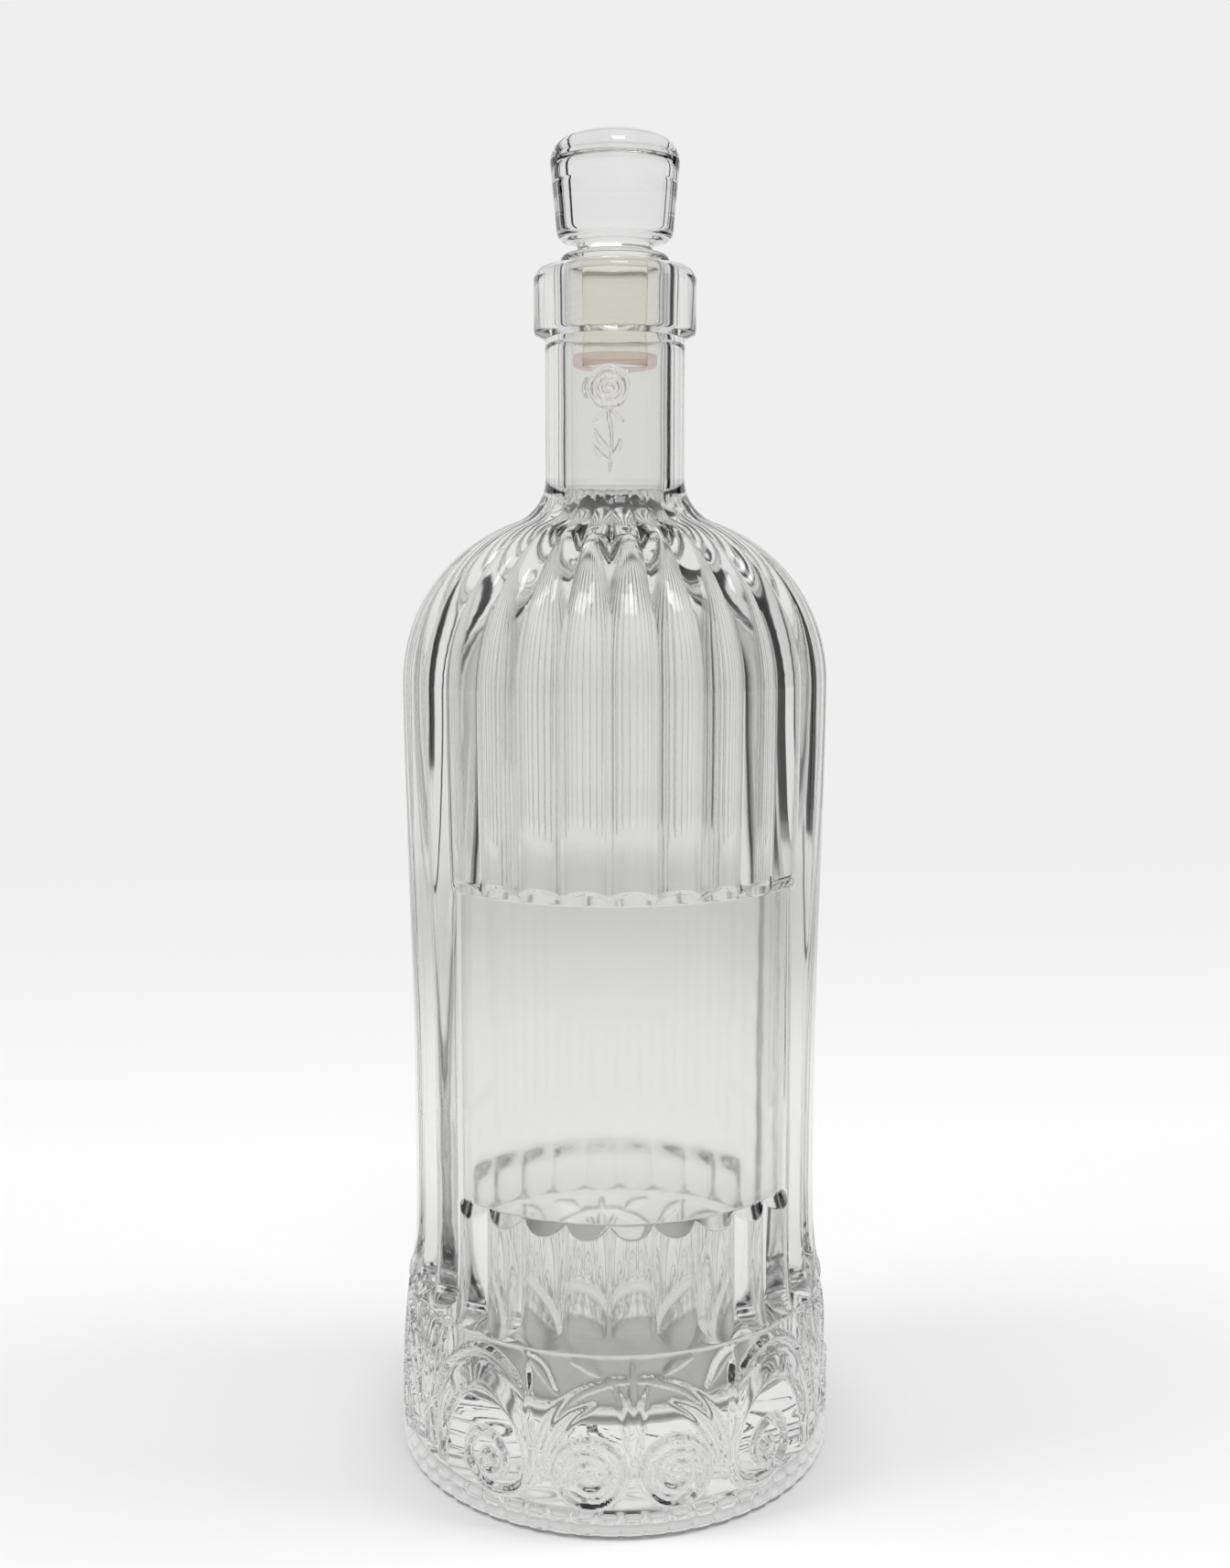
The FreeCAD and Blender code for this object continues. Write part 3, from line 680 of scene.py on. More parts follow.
def rose(azimuth, height):
    """Height of the rose in mm."""
    across = (azimuth - ROSE_AZIMUTH) * NECK_RADIUS
    up = height - ROSE_HEIGHT
    near = (np.abs(across) < 7.5) & (np.abs(up) < 17)
    shape = np.zeros(len(across))
    strokes = petal_ring(5, 0.4, 3.5, 3.3, ((-0.75, 0.5), (0, 1.1), (0.75, 0.5)))
    strokes += petal_ring(4, 1.0, 2.2, 2.1, ((-0.9, 0.45), (0, 0.9), (0.9, 0.45)))
    heart = [(1.1, 0.1, 0.5), (0.4, 1.0, 0.7), (-0.8, 0.6, 0.7), (-0.7, -0.6, 0.7),
             (0.3, -0.5, 0.5)]
    outer_petal = [(-4.2, 1.8, 0.5), (-5.0, 0.2, 1.0), (-4.4, -1.6, 0.5)]
    stem = [(0.3, -6.0, 0.7), (0.6, -10.0, 0.6), (0.2, -15.8, 0.5)]
    upper_leaf = [(0.4, -11.6, 0.5), (-1.4, -9.8, 1.1), (-2.6, -7.6, 0.4)]
    lower_leaf = [(0.4, -13.6, 0.5), (-1.6, -12.2, 1.1), (-3.0, -10.2, 0.4)]
    right_leaf = [(0.4, -13.0, 0.5), (1.6, -11.4, 1.0), (2.3, -9.2, 0.4)]
    strokes += [heart, outer_petal, stem, upper_leaf, lower_leaf, right_leaf]
    for side in (-1, 0, 1):
        sepal = [(side * 0.5, -4.0, 0.5), (side * 1.6, -5.1, 0.7), (side * 2.9, -6.2, 0.4)]
        strokes.append(sepal)
    shape[near] = 0.35 * dome(across[near], up[near], (0, 0), 4.1)
    for points in strokes:
        shape[near] = np.maximum(shape[near], stroke(across[near], up[near], points, 6))
    return ROSE_RELIEF * shape


# %% [markdown]
# Now the mould closes. Every vertex finds its row again, and its zone says which part of
# the pattern moves it. The vertices are moved all at once with foreach_set, because there
# are too many of them to move one by one.

# %% Press the pattern into the skin
def press_pattern(piece):
    """Move the spun skin's vertices to the pressed shape; returns which ones are inside."""
    radius, height, azimuth = vertex_places(piece)
    row = nearest_row(radius, height)
    zone = row_zone[row]
    table = row_table[row]
    radius, height = table[:, 0].copy(), table[:, 1].copy()
    reeded = np.isin(zone, (BODY, DOME))
    across, middle = reed_place(azimuth)
    rounder = np.sin(across * REED_ANGLE) / math.sin(REED_ANGLE)
    azimuth = np.where(reeded, middle + rounder * reed_pitch / 2, azimuth)

    body = zone == BODY
    radius[body], height[body] = body_shape(azimuth[body], table[body])
    over = zone == DOME
    dip = table[over, 7] * (1 - reed_round(reed_place(azimuth[over])[0]))
    radius[over] -= table[over, 5] * dip
    height[over] -= table[over, 6] * dip
    band = zone == BAND
    radius[band] += RELIEF * band_relief(azimuth[band], height[band])
    heel = zone == HEEL
    radius[heel] -= heel_nicks(azimuth[heel], height[heel])
    neck = zone == NECK
    radius[neck] += rose(azimuth[neck], height[neck])

    x, y = radius * np.sin(azimuth), -radius * np.cos(azimuth)
    flat = np.stack([x, y, height], 1).ravel() * MM
    piece.data.vertices.foreach_set("co", flat)
    piece.data.update()
    return zone == INSIDE


BOTTLE_CRISP, KNOB_CRISP, PLASTIC_CRISP = 100, 30, 40
inside_vertices = press_pattern(bottle)
smooth(bottle, BOTTLE_CRISP)
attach(bottle, "bottle_body")
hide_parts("bottle")

# %% [markdown]
# ## The stopper
#
# The knob is pressed in two halves of a mould, which meet in a fine line where the side
# turns into the crown. Its shank goes down inside the sleeve. A hair's breadth of air is
# left between the two meshes, so that neither cuts into the other.

# %% Sizes of the knob
KNOB_RADIUS = knob_top.x
SHANK_RADIUS = 6.3
AIR = 0.03
collar_low = sleeve_top.z
COLLAR_RADIUS, COLLAR_HEIGHT, COLLAR_ROUND = 10.4, 1.65, 0.9
WAIST_RADIUS, WAIST_HEIGHT, WAIST_ROUND = 7.2, 2.5, 0.7
KNOB_LOW_RADIUS, KNOB_LOW_ROUND = 11.2, 2.2
KNOB_CROWN, KNOB_EDGE = 6.4, 4.6
collar_top = collar_low + COLLAR_HEIGHT
parting = knob_top.z - KNOB_CROWN
knob_foot = collar_top + WAIST_HEIGHT
edge_radius = KNOB_RADIUS - KNOB_EDGE
crown = (edge_radius ** 2 + KNOB_CROWN ** 2 - KNOB_EDGE ** 2) / (2 * (KNOB_CROWN - KNOB_EDGE))
crown_lean = math.degrees(math.acos(edge_radius / (crown - KNOB_EDGE)))
print("parting line of the knob at", round(parting, 2), "mm")

# %% [markdown]
# The outline starts at the middle of the shank's end. It goes up the shank, out under the
# collar, in again at the waist, up the tapered side and over the crown.

# %% Turn the knob
KNOB_STEPS, SHANK_ROUND = 144, 0.4
shank = SHANK_RADIUS - AIR
knob_outline = [(0, knob_low.z), (SHANK_RADIUS - 0.5, knob_low.z), (shank, knob_low.z + 0.5)]
knob_outline += [(shank, 222.0), (shank, 229.0)]
knob_outline += arc(shank + SHANK_ROUND, collar_low - SHANK_ROUND + AIR, SHANK_ROUND, 180, 90, 3)
knob_outline += [(9.0, collar_low + AIR), (COLLAR_RADIUS - 0.3, collar_low + AIR)]
knob_outline += [(COLLAR_RADIUS, collar_low + 0.3)]
knob_outline += arc(COLLAR_RADIUS - COLLAR_ROUND, collar_top - COLLAR_ROUND, COLLAR_ROUND, 0, 80, 6)
waist_low = collar_top + WAIST_ROUND + 0.05
knob_outline += arc(WAIST_RADIUS + WAIST_ROUND, waist_low, WAIST_ROUND, 265, 180, 6)
knob_outline += arc(WAIST_RADIUS + 0.8, knob_foot - 1.2, 0.8, 180, 110, 5)
knob_low_centre = (KNOB_LOW_RADIUS - KNOB_LOW_ROUND, knob_foot + KNOB_LOW_ROUND)
knob_outline += arc(*knob_low_centre, KNOB_LOW_ROUND, -80, -5, 9)
side_rise = parting - 0.35 - knob_foot - KNOB_LOW_ROUND
for share in (0.1, 0.4, 0.7, 0.95, 1.0):
    side_radius = KNOB_LOW_RADIUS + (KNOB_RADIUS - 0.05 - KNOB_LOW_RADIUS) * share
    knob_outline.append((side_radius, knob_foot + KNOB_LOW_ROUND + side_rise * share))
knob_outline += [(KNOB_RADIUS, parting - 0.15), (KNOB_RADIUS, parting + 0.05)]
knob_outline += arc(edge_radius - 0.05, parting, KNOB_EDGE, 4, crown_lean, 10)
knob_outline += arc(0, knob_top.z - crown, crown, crown_lean, 90, 9)[1:]
knob = spin_outline("glass_knob", knob_outline, KNOB_STEPS)
smooth(knob, KNOB_CRISP)
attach(knob, "stopper")
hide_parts("stopper_knob")

# %% [markdown]
# The sleeve is soft polyethylene. Eleven thin fins press against the bore, and each one
# is a little thicker at its root, so that it leaves the mould and bends without tearing.

# %% Turn the sleeve
FINS, FIN_PITCH, FIRST_FIN = 11, 1.25, 1.9
SLEEVE_CORE, PLASTIC_STEPS = 8.5, 96
fin_tip = BORE_RADIUS - 0.08
flange = sleeve_top.x
sleeve_outline = [(SHANK_RADIUS, sleeve_top.z - 0.2), (SHANK_RADIUS + 0.2, sleeve_top.z)]
sleeve_outline += [(flange - 0.15, sleeve_top.z), (flange, sleeve_top.z - 0.15)]
sleeve_outline += [(flange, MOUTH_HEIGHT + 0.2), (flange - 0.12, MOUTH_HEIGHT + 0.06)]
sleeve_outline += [(SLEEVE_CORE + 0.25, MOUTH_HEIGHT + 0.06), (SLEEVE_CORE, MOUTH_HEIGHT - 0.2)]
for number in range(FINS):
    middle = MOUTH_HEIGHT - FIRST_FIN - number * FIN_PITCH
    sleeve_outline += [(SLEEVE_CORE, middle + 0.38), (SLEEVE_CORE + 0.25, middle + 0.2)]
    sleeve_outline += [(fin_tip - 0.05, middle + 0.14), (fin_tip, middle + 0.06)]
    sleeve_outline += [(fin_tip - 0.05, middle - 0.02), (SLEEVE_CORE + 0.2, middle - 0.2)]
    sleeve_outline += [(SLEEVE_CORE, middle - 0.36)]
sleeve_outline += [(SLEEVE_CORE, sleeve_low.z + 0.1), (SLEEVE_CORE - 0.1, sleeve_low.z + 0.02)]
sleeve_outline += [(SHANK_RADIUS, sleeve_low.z + 0.02), (SHANK_RADIUS, 226.0)]
sleeve_outline += [(SHANK_RADIUS, sleeve_top.z - 0.2)]
sleeve = spin_outline("sealing_sleeve", sleeve_outline, PLASTIC_STEPS)
smooth(sleeve, PLASTIC_CRISP)
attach(sleeve, "stopper")
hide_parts("stopper_sleeve")

# %% [markdown]
# A thin ring of tinted plastic closes the sleeve's lower end. Its lower edge is rounded, so
# that it finds its way into the bore.

# %% Turn the ring at the sleeve's end
END_RADIUS, END_ROUND = tip_top.x, 0.3
ring_outline = [(SHANK_RADIUS, tip_low.z), (END_RADIUS - END_ROUND, tip_low.z)]
ring_outline += arc(END_RADIUS - END_ROUND, tip_low.z + END_ROUND, END_ROUND, -60, 0, 3)
ring_outline += [(END_RADIUS, tip_top.z - 0.15), (END_RADIUS - 0.15, tip_top.z - 0.02)]
ring_outline += [(SHANK_RADIUS, tip_top.z - 0.02), (SHANK_RADIUS, tip_low.z)]
end_ring = spin_outline("tinted_end_ring", ring_outline, PLASTIC_STEPS)
smooth(end_ring, PLASTIC_CRISP)
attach(end_ring, "stopper")
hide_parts("sleeve_end_ring")

# %% [markdown]
# ## Materials
#
# Clear soda-lime glass has an index of refraction of 1.52 and next to no colour of its
# own: a thick edge looks faintly grey-green. Pressed glass is never quite flat, because
# the mould chills its skin before the inside sets, so a very low, wide ripple goes over
# every face. The helper below adds one node with its settings and its links.

# %% Helpers for materials
def linear(hex_colour):
    """sRGB hex to the linear colour that a shader takes."""
    colour = []
    for place in (1, 3, 5):
        part = int(hex_colour[place:place + 2], 16) / 255
        colour.append(part / 12.92 if part <= 0.04045 else ((part + 0.055) / 1.055) ** 2.4)
    return (*colour, 1.0)


def add_node(tree, kind, links=(), stops=(), **settings):
    """Add a node; links are (input, output socket or plain value), stops are a colour ramp's."""
    node = tree.nodes.new(kind)
    for key, value in settings.items():
        if hasattr(node, key):
            setattr(node, key, value)
        else:
            node.inputs[key.replace("_", " ")].default_value = value
    for place, source in links:
        if isinstance(source, bpy.types.NodeSocket):
            tree.links.new(source, node.inputs[place])
        else:
            node.inputs[place].default_value = source
    for position, _ in stops[1:-1]:
        node.color_ramp.elements.new(position)
    if stops:
        for stop, (position, colour) in zip(node.color_ramp.elements, stops):
            stop.position, stop.color = position, colour
    return node


def new_material(name):
    """An empty material and its node tree."""
    material = bpy.data.materials.new(name)
    material.use_nodes = True
    material.node_tree.nodes.clear()
    return material, material.node_tree


def dress(piece, material):
    """Give a piece one material all over."""
    piece.data.materials.clear()
    piece.data.materials.append(material)


# %% [markdown]
# The ripple of the bottle is about 14 mm from crest to crest, that of the knob 6 mm. The
# tint acts once in every wall that the light crosses, so it is paler than the glass looks.

# %% Pressed glass
SODA_LIME_IOR = 1.52


def pressed_glass(name, tint, ripple_mm, ripple_height_mm, roughness=0.0, ior=SODA_LIME_IOR):
    """Clear glass with a low ripple of the given width and height."""
    material, tree = new_material(name)
    place = add_node(tree, "ShaderNodeTexCoord").outputs["Object"]
    ripple = add_node(tree, "ShaderNodeTexNoise", [("Vector", place)],
                      Scale=1 / (ripple_mm * MM), Detail=1.0)
    bump = add_node(tree, "ShaderNodeBump", [("Height", ripple.outputs["Fac"])],
                    Strength=1.0, Distance=ripple_height_mm * MM)
    glass = add_node(tree, "ShaderNodeBsdfPrincipled", [("Normal", bump.outputs["Normal"])],
                     Base_Color=linear(tint), Roughness=roughness, IOR=ior, Transmission_Weight=1.0)
    add_node(tree, "ShaderNodeOutputMaterial", [("Surface", glass.outputs["BSDF"])])
    return material


BOTTLE_TINT = "#F3F3F2"
dress(bottle, pressed_glass("pressed soda-lime glass", BOTTLE_TINT, 14.0, 0.06))
dress(knob, pressed_glass("pressed knob glass", "#F1F1F1", 6.0, 0.02))

# %% [markdown]
# The inside was blown. Its face cooled in air, so its ripple is narrower and it is very
# slightly rough, which softens what is seen through both walls. It gets the bottle's second
# material slot, and the faces whose vertices all lie inside are pointed at it.

# %% Blown inner face
blown_glass = pressed_glass("blown inner face of the glass", BOTTLE_TINT, 9.0, 0.05, 0.08)
bottle.data.materials.append(blown_glass)
for face in bottle.data.polygons:
    if inside_vertices[list(face.vertices)].all():
        face.material_index = 1
print("faces inside:", sum(face.material_index for face in bottle.data.polygons))

# %% [markdown]
# The shank fills the sleeve. Where glass and plastic touch, light passes from one to the
# other almost without bending, so the shank's edge hardly shows through the plastic. A low
# index of refraction stands in for that, because a hair of air is modelled between them.

# %% Shank held by the sleeve
SHANK_IOR = 1.08
shank_glass = pressed_glass("shank glass held by plastic", "#FFFFFF", 6.0, 0.0, 0.0, SHANK_IOR)
knob.data.materials.append(shank_glass)
for face in knob.data.polygons:
    if max(knob.data.vertices[corner].co.z for corner in face.vertices) < collar_low * MM:
        face.material_index = 1
print("faces of the shank:", sum(face.material_index for face in knob.data.polygons))

# %% [markdown]
# Natural polyethylene is milky, but these walls are thin, and most of the light goes
# straight through them. A Transparent shader does that without bending it. A little
# glossy and translucent skin is mixed in, with a grain of 3 mm, so that the fins catch light.

# %% Soft plastics
MILKINESS = 0.55


def soft_plastic(name, colours, clearness, grain_mm):
    """Thin milky polyethylene: part of the light goes straight on, the rest comes out soft."""
    material, tree = new_material(name)
    place = add_node(tree, "ShaderNodeTexCoord").outputs["Object"]
    grain = add_node(tree, "ShaderNodeTexNoise", [("Vector", place)],
                     Scale=1 / (grain_mm * MM), Detail=2.0)
    bump = add_node(tree, "ShaderNodeBump", [("Height", grain.outputs["Fac"])],
                    Strength=0.4, Distance=0.02 * MM)
    cloudy, clearer = linear(colours[0]), linear(colours[1])
    shade = add_node(tree, "ShaderNodeMix",
                     [(0, grain.outputs["Fac"]), (6, cloudy), (7, clearer)], data_type="RGBA")
    skin_links = [("Normal", bump.outputs["Normal"]), ("Base Color", shade.outputs[2])]
    skin = add_node(tree, "ShaderNodeBsdfPrincipled", skin_links, Roughness=0.38, IOR=1.51)
    milk = add_node(tree, "ShaderNodeBsdfTranslucent", [("Color", shade.outputs[2])])
    clear = add_node(tree, "ShaderNodeBsdfTransparent", [("Color", shade.outputs[2])])
    milky = add_node(tree, "ShaderNodeMixShader",
                     [(0, MILKINESS), (1, skin.outputs[0]), (2, milk.outputs[0])])
    plastic = add_node(tree, "ShaderNodeMixShader",
                       [(0, clearness), (1, milky.outputs[0]), (2, clear.outputs[0])])
    add_node(tree, "ShaderNodeOutputMaterial", [("Surface", plastic.outputs[0])])
    return material


dress(sleeve, soft_plastic("natural polyethylene", ("#FEFEFC", "#FDFDF9"), 0.985, 3.0))
dress(end_ring, soft_plastic("tinted polyethylene", ("#FCF5F2", "#FAF1ED"), 0.9, 3.0))
print("materials:", [material.name for piece in (bottle, knob, sleeve, end_ring)
                     for material in piece.data.materials])

# %% [markdown]
# ## Floor, light and camera
#
# Glass has no colour to show: it shows what is round it. A bright, even background makes
# the bottle glow, and it needs darker areas beside it, which the reeds and the neck turn
# into the dark lines that draw the shape. So the studio has a pale wall behind the bottle,
# grey walls beside it and black cards between them. A colour ramp turns a distance or a
# direction into a grey level, and the first helpers write its stops. The last one tells
# apart the rays that come from the camera and those that have met glass.

# %% Helpers for grey levels and rays
def grey(level):
    """Linear grey from 0 to 1."""
    return (level, level, level, 1.0)


def grey_stops(levels):
    """Stops of a colour ramp from (millimetres, level) pairs."""
    return [(far * MM, grey(level)) for far, level in levels]


def ray_kinds(tree):
    """Two sockets that are 1 for a ray from the camera and for a ray that has met glass."""
    path = add_node(tree, "ShaderNodeLightPath").outputs
    met_glass = add_node(tree, "ShaderNodeMath", operation="MAXIMUM",
                         links=[(0, path["Is Glossy Ray"]), (1, path["Is Transmission Ray"])])
    return path["Is Camera Ray"], met_glass.outputs[0]


# %% [markdown]
# The floor is a sweep of white paper. Its levels are painted light, an emission so that they
# stay as they are written: brightest a little way behind the bottle, where a real sweep
# catches the most light, and falling off to a pale grey further back. Close to the bottle the
# paper is matt instead, and takes the bottle's shadow. One ramp sets how much of it glows for
# the camera, and one for the rays that have gone through glass. The glow is painted light as
# well: near the bottle it lightens the real shadow, and under the foot the glass sees a faint
# glow with a brighter ring under the standing ring, in place of the light that the glass
# would carry there.
#
# The glass sees painted shade on the floor in three places: beside the bottle, in a ring round
# its foot, which stands for the bottle's own soft shadow, and in a wide stretch behind it. The
# last one gives the smooth panel its soft fall from light to grey. Distances are in
# millimetres from the bottle's axis.

# %% Levels of the floor
BACKGROUND = "#EFEFEF"
# Painted light: the paper's glow levels, brightest a little way behind the bottle.
SWEEP_GLOW = ((98, "#F8F8F8"), (168, "#FDFDFD"), (266, "#F8F8F8"), (408, "#F3F3F3"), (634, "#EFEFEF"),
         (1000, BACKGROUND))
SWEEP_WIDTH, FLOOR_RADIUS = 500, 4000
# Painted light: how much of the paper glows for the camera and for glass. Near the bottle the glow
# lightens its real shadow; under the foot the glass sees a faint glow and a bright ring.
GLOW_SEEN = ((0, 0.0), (45, 0.0), (60, 0.35), (160, 0.45), (480, 1.0))
GLOW_IN_GLASS = ((0, 0.3), (20, 0.3), (26, 0.0), (32, 0.0), (38, 0.55), (42, 0.62), (46, 0.4),
                 (70, 1.0))
# Painted shade: glass alone sees the paper dimmer beside the bottle, in a ring round its foot and
# in a wide stretch behind it.
SHADE_STRIP, SHADE_BESIDE = (90, 210), 0.95
SHADE_IN_GLASS = ((0, 1.0), (46, 1.0), (56, 0.85), (110, 0.9), (160, 1.0), (300, 1.0), (520, 0.8),
                  (680, 0.78), (900, 1.0))
print("darkest floor in the glass:", min(level for _, level in SHADE_IN_GLASS))

# %% Floor
bpy.ops.object.select_all(action="DESELECT")
bpy.ops.mesh.primitive_circle_add(vertices=96, radius=FLOOR_RADIUS * MM, fill_type="NGON")
floor = bpy.context.object
floor.name = "floor"
material, tree = new_material("white paper sweep")
place = add_node(tree, "ShaderNodeTexCoord").outputs["Object"]
parts = add_node(tree, "ShaderNodeSeparateXYZ", [(0, place)])
distance = add_node(tree, "ShaderNodeVectorMath", [(0, place)], operation="LENGTH").outputs["Value"]
behind = add_node(tree, "ShaderNodeMath", [(0, parts.outputs["Y"])], operation="ABSOLUTE")
outside = add_node(tree, "ShaderNodeMath", [(0, distance), (1, SWEEP_WIDTH * MM)],
                   operation="SUBTRACT")
sweep = add_node(tree, "ShaderNodeMath", [(0, behind.outputs[0]), (1, outside.outputs[0])],
                 operation="MAXIMUM")
sweep_glow_stops = [(far * MM, linear(colour)) for far, colour in SWEEP_GLOW]
paper = add_node(tree, "ShaderNodeValToRGB", [(0, sweep.outputs[0])], sweep_glow_stops)
camera_ray, in_glass = ray_kinds(tree)
glow_shares = []
for levels, ray in ((GLOW_SEEN, camera_ray), (GLOW_IN_GLASS, in_glass)):
    level = add_node(tree, "ShaderNodeValToRGB", [(0, distance)], grey_stops(levels))
    share = add_node(tree, "ShaderNodeMath", [(0, level.outputs[0]), (1, ray)],
                     operation="MULTIPLY")
    glow_shares.append(share.outputs[0])

# %% [markdown]
# The painted shade is mixed in for glass rays alone, and then the paper's glow level is
# multiplied by it. At the end the glow and the matt paper are mixed by the share above.

# %% Finish the floor
# Painted shade: for glass rays the paper's glow is dimmed beside the bottle, round its foot and
# behind it.
aside = add_node(tree, "ShaderNodeMath", [(0, parts.outputs["X"])], operation="ABSOLUTE")
beside = add_node(tree, "ShaderNodeMapRange", [("Value", aside.outputs[0])],
                  From_Min=SHADE_STRIP[0] * MM, From_Max=SHADE_STRIP[1] * MM, To_Min=1.0, To_Max=SHADE_BESIDE)
painted_shade_beside = add_node(tree, "ShaderNodeMix",
                  [(0, in_glass), (6, grey(1.0)), (7, beside.outputs[0])], data_type="RGBA")
shade = add_node(tree, "ShaderNodeValToRGB", [(0, distance)], grey_stops(SHADE_IN_GLASS))
painted_shade = add_node(tree, "ShaderNodeMix",
                  [(0, in_glass), (6, painted_shade_beside.outputs[2]), (7, shade.outputs[0])],
                  data_type="RGBA", blend_type="MULTIPLY")
paper = add_node(tree, "ShaderNodeMix", [(0, 1.0), (6, paper.outputs[0]), (7, painted_shade.outputs[2])],
                 data_type="RGBA", blend_type="MULTIPLY")
matt = add_node(tree, "ShaderNodeBsdfDiffuse", Color=linear("#F0F0F0"))
glow = add_node(tree, "ShaderNodeEmission", [(0, paper.outputs[2])], Strength=1.0)
glow_share = add_node(tree, "ShaderNodeMath", list(enumerate(glow_shares)), operation="ADD")
mixed = add_node(tree, "ShaderNodeMixShader",
                 [(0, glow_share.outputs[0]), (1, matt.outputs[0]), (2, glow.outputs[0])])
add_node(tree, "ShaderNodeOutputMaterial", [("Surface", mixed.outputs[0])])
dress(floor, material)
print("floor radius:", FLOOR_RADIUS, "mm, material:", material.name)

# %% [markdown]
# The world has three faces. The camera sees the plain background. Glass sees the studio's
# walls, bright behind the bottle and grey at its sides, under a pale ceiling. All other
# rays, which light the paper and the plastic, get one even fill. The walls' levels are
# written against the azimuth, with 0 straight behind the bottle.

# %% Studio round the bottle
world = bpy.data.worlds.new("studio")
bpy.context.scene.world = world
world.use_nodes = True
tree = world.node_tree
tree.nodes.clear()
STUDIO = ((-180, 0.45), (-130, 0.45), (-95, 0.54), (-68, 0.62), (-46, 0.86), (0, 0.90),
          (46, 0.86), (68, 0.58), (95, 0.50), (130, 0.42), (180, 0.45))
FILL, CEILING = 0.5, 0.85
CEILING_FROM, CEILING_FULL = 0.55, 0.8
direction = add_node(tree, "ShaderNodeTexCoord").outputs["Generated"]
parts = add_node(tree, "ShaderNodeSeparateXYZ", [(0, direction)])
turn = add_node(tree, "ShaderNodeMath", [(0, parts.outputs["X"]), (1, parts.outputs["Y"])],
                operation="ARCTAN2")
for operation, number in (("DIVIDE", math.tau), ("ADD", 0.5)):
    turn = add_node(tree, "ShaderNodeMath", [(0, turn.outputs[0]), (1, number)],
                    operation=operation)
wall_stops = [((degrees + 180) / 360, grey(level)) for degrees, level in STUDIO]
walls = add_node(tree, "ShaderNodeValToRGB", [(0, turn.outputs[0])], wall_stops)
camera_ray, in_glass = ray_kinds(tree)
overhead = add_node(tree, "ShaderNodeMapRange", [("Value", parts.outputs["Z"])],
                    From_Min=CEILING_FROM, From_Max=CEILING_FULL)
room = add_node(tree, "ShaderNodeMix", data_type="RGBA",
                links=[(0, overhead.outputs[0]), (6, walls.outputs[0]), (7, grey(CEILING))])
room = add_node(tree, "ShaderNodeMix", [(0, in_glass), (6, grey(FILL)), (7, room.outputs[2])],
                data_type="RGBA")
room = add_node(tree, "ShaderNodeMix", data_type="RGBA",
                links=[(0, camera_ray), (6, room.outputs[2]), (7, linear(BACKGROUND))])
light = add_node(tree, "ShaderNodeBackground", [(0, room.outputs[2])], Strength=1.0)
add_node(tree, "ShaderNodeOutputWorld", [(0, light.outputs[0])])
print("wall levels:", len(STUDIO), "ceiling", CEILING, "fill", FILL)

# %% [markdown]
# A glass photographer stands black cards just outside the picture. The camera doesn't see
# them, but the curved sides of the glass do, and they turn into the dark lines that give
# the bottle its drawing. A wide card makes a broad line and a narrow card a thin one. Some
# end above the floor, so that the lines fade out above the foot.

# %% Helper for a card
CARD_DISTANCE, CARD_TOP = 250, 420
card_material, tree = new_material("matt black card")
card_black = add_node(tree, "ShaderNodeBsdfDiffuse", Color=linear("#0C0C0C"))
add_node(tree, "ShaderNodeOutputMaterial", [("Surface", card_black.outputs[0])])


def black_card(name, azimuth, width_mm, low_mm):
    """Upright card at an azimuth from straight behind the bottle, seen only through glass."""
    angle = math.radians(azimuth)
    aside, behind = math.sin(angle) * CARD_DISTANCE, math.cos(angle) * CARD_DISTANCE
    place = Vector((aside, behind, (CARD_TOP + low_mm) / 2))
    bpy.ops.object.select_all(action="DESELECT")
    upright = (math.pi / 2, 0, -angle)
    bpy.ops.mesh.primitive_plane_add(size=MM, location=place * MM, rotation=upright)
    card = bpy.context.object
    card.name = name
    card.scale = (width_mm, CARD_TOP - low_mm, 1)
    bpy.ops.object.transform_apply(location=True, rotation=True, scale=True)
    dress(card, card_material)
    card.visible_camera = False
    card.visible_diffuse = False
    card.visible_shadow = False


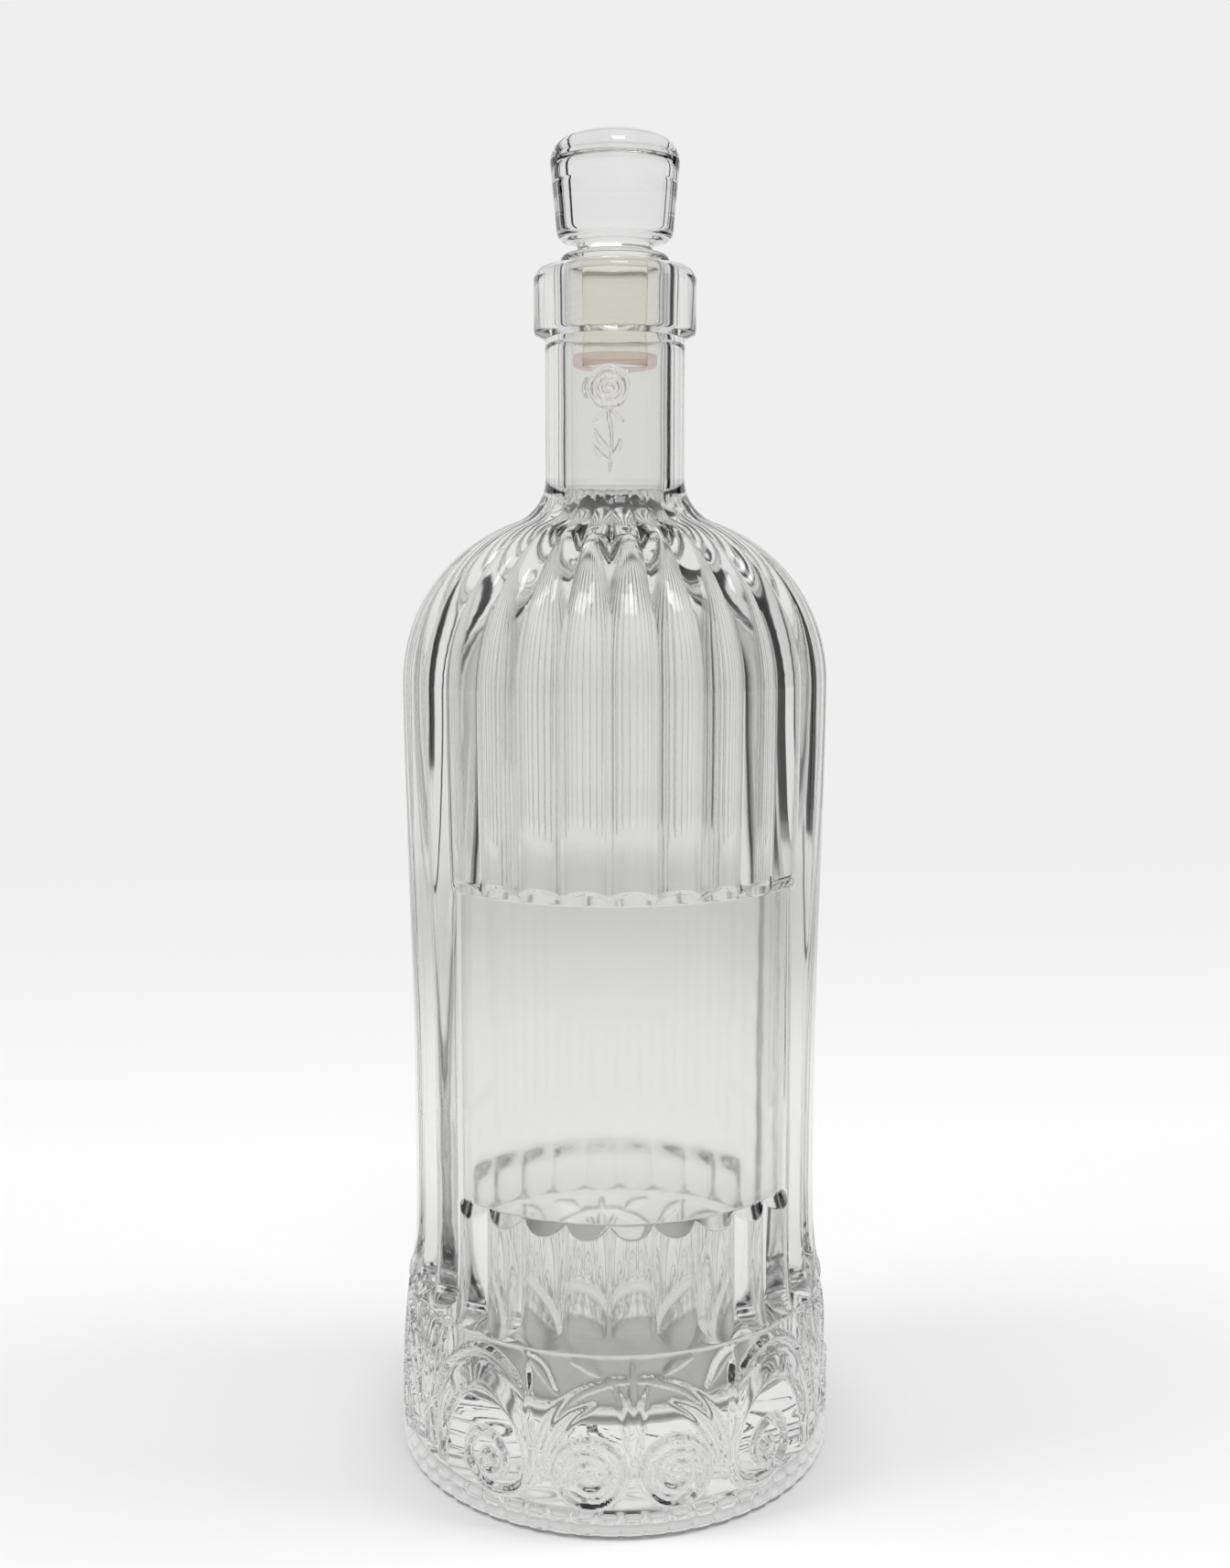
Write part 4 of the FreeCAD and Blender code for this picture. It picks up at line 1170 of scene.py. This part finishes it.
# %% Black cards beside the bottle
RIGHT_CARDS = ((39, 12, 95), (50, 5, 1), (58, 52, 95), (72, 6, 1), (86, 28, 1))
LEFT_CARDS = ((-40, 9, 115), (-50, 5, 1), (-59, 24, 115), (-70, 6, 1), (-82, 26, 1))
for side, cards in (("right", RIGHT_CARDS), ("left", LEFT_CARDS)):
    for number, (azimuth, width, low) in enumerate(cards):
        black_card(f"{side} card {number + 1}", azimuth, width, low)
print("cards:", len(RIGHT_CARDS) + len(LEFT_CARDS))

# %% [markdown]
# Two soft lamps high up at the sides draw the shadow on the paper. Glass doesn't show them,
# because their bright squares would break up the reeds. A third, over the camera, does show,
# and gives the crown, the ring and the shoulder their highlights.

# %% Soft lamps
LAMP_AIM = (0, 0, 130)


def soft_lamp(name, place_mm, size_mm, power, shows=False):
    """Square area lamp turned towards the middle of the bottle."""
    bpy.ops.object.light_add(type="AREA", location=Vector(place_mm) * MM)
    lamp = bpy.context.object
    lamp.name = name
    lamp.data.size = size_mm * MM
    lamp.data.energy = power
    aim = Vector(LAMP_AIM) * MM - lamp.location
    lamp.rotation_euler = aim.to_track_quat("-Z", "Y").to_euler()
    lamp.visible_glossy = shows
    lamp.visible_transmission = shows
    print(lamp.name, power, "W")


soft_lamp("left lamp", (-520, -70, 900), 300, 4.1)
soft_lamp("right lamp", (520, -70, 900), 300, 4.0)
soft_lamp("front lamp", (40, -420, 1000), 260, 1.2, shows=True)

# %% [markdown]
# The camera stands 330 mm from the bottle's axis, a little to the left of its front, and
# looks down by 7.6 degrees. The Standard view keeps the colours as they are written.

# %% Camera
CAMERA_PLACE = Vector((-25.9, -329.0, 178.7))
CAMERA_PITCH = -7.58
FOCAL_LENGTH = 38.35
bpy.ops.object.camera_add(location=CAMERA_PLACE * MM)
camera = bpy.context.object
camera.name = "camera"
camera.data.sensor_fit = "VERTICAL"
camera.data.sensor_height = 36.0
camera.data.lens = FOCAL_LENGTH
camera.data.clip_start = 0.01
heading = math.atan2(-CAMERA_PLACE.x, -CAMERA_PLACE.y)
camera.rotation_euler = (math.radians(90 + CAMERA_PITCH), 0, -heading)
bpy.context.scene.camera = camera
bpy.context.scene.view_settings.view_transform = "Standard"
print("camera:", tuple(CAMERA_PLACE), "lens", FOCAL_LENGTH)
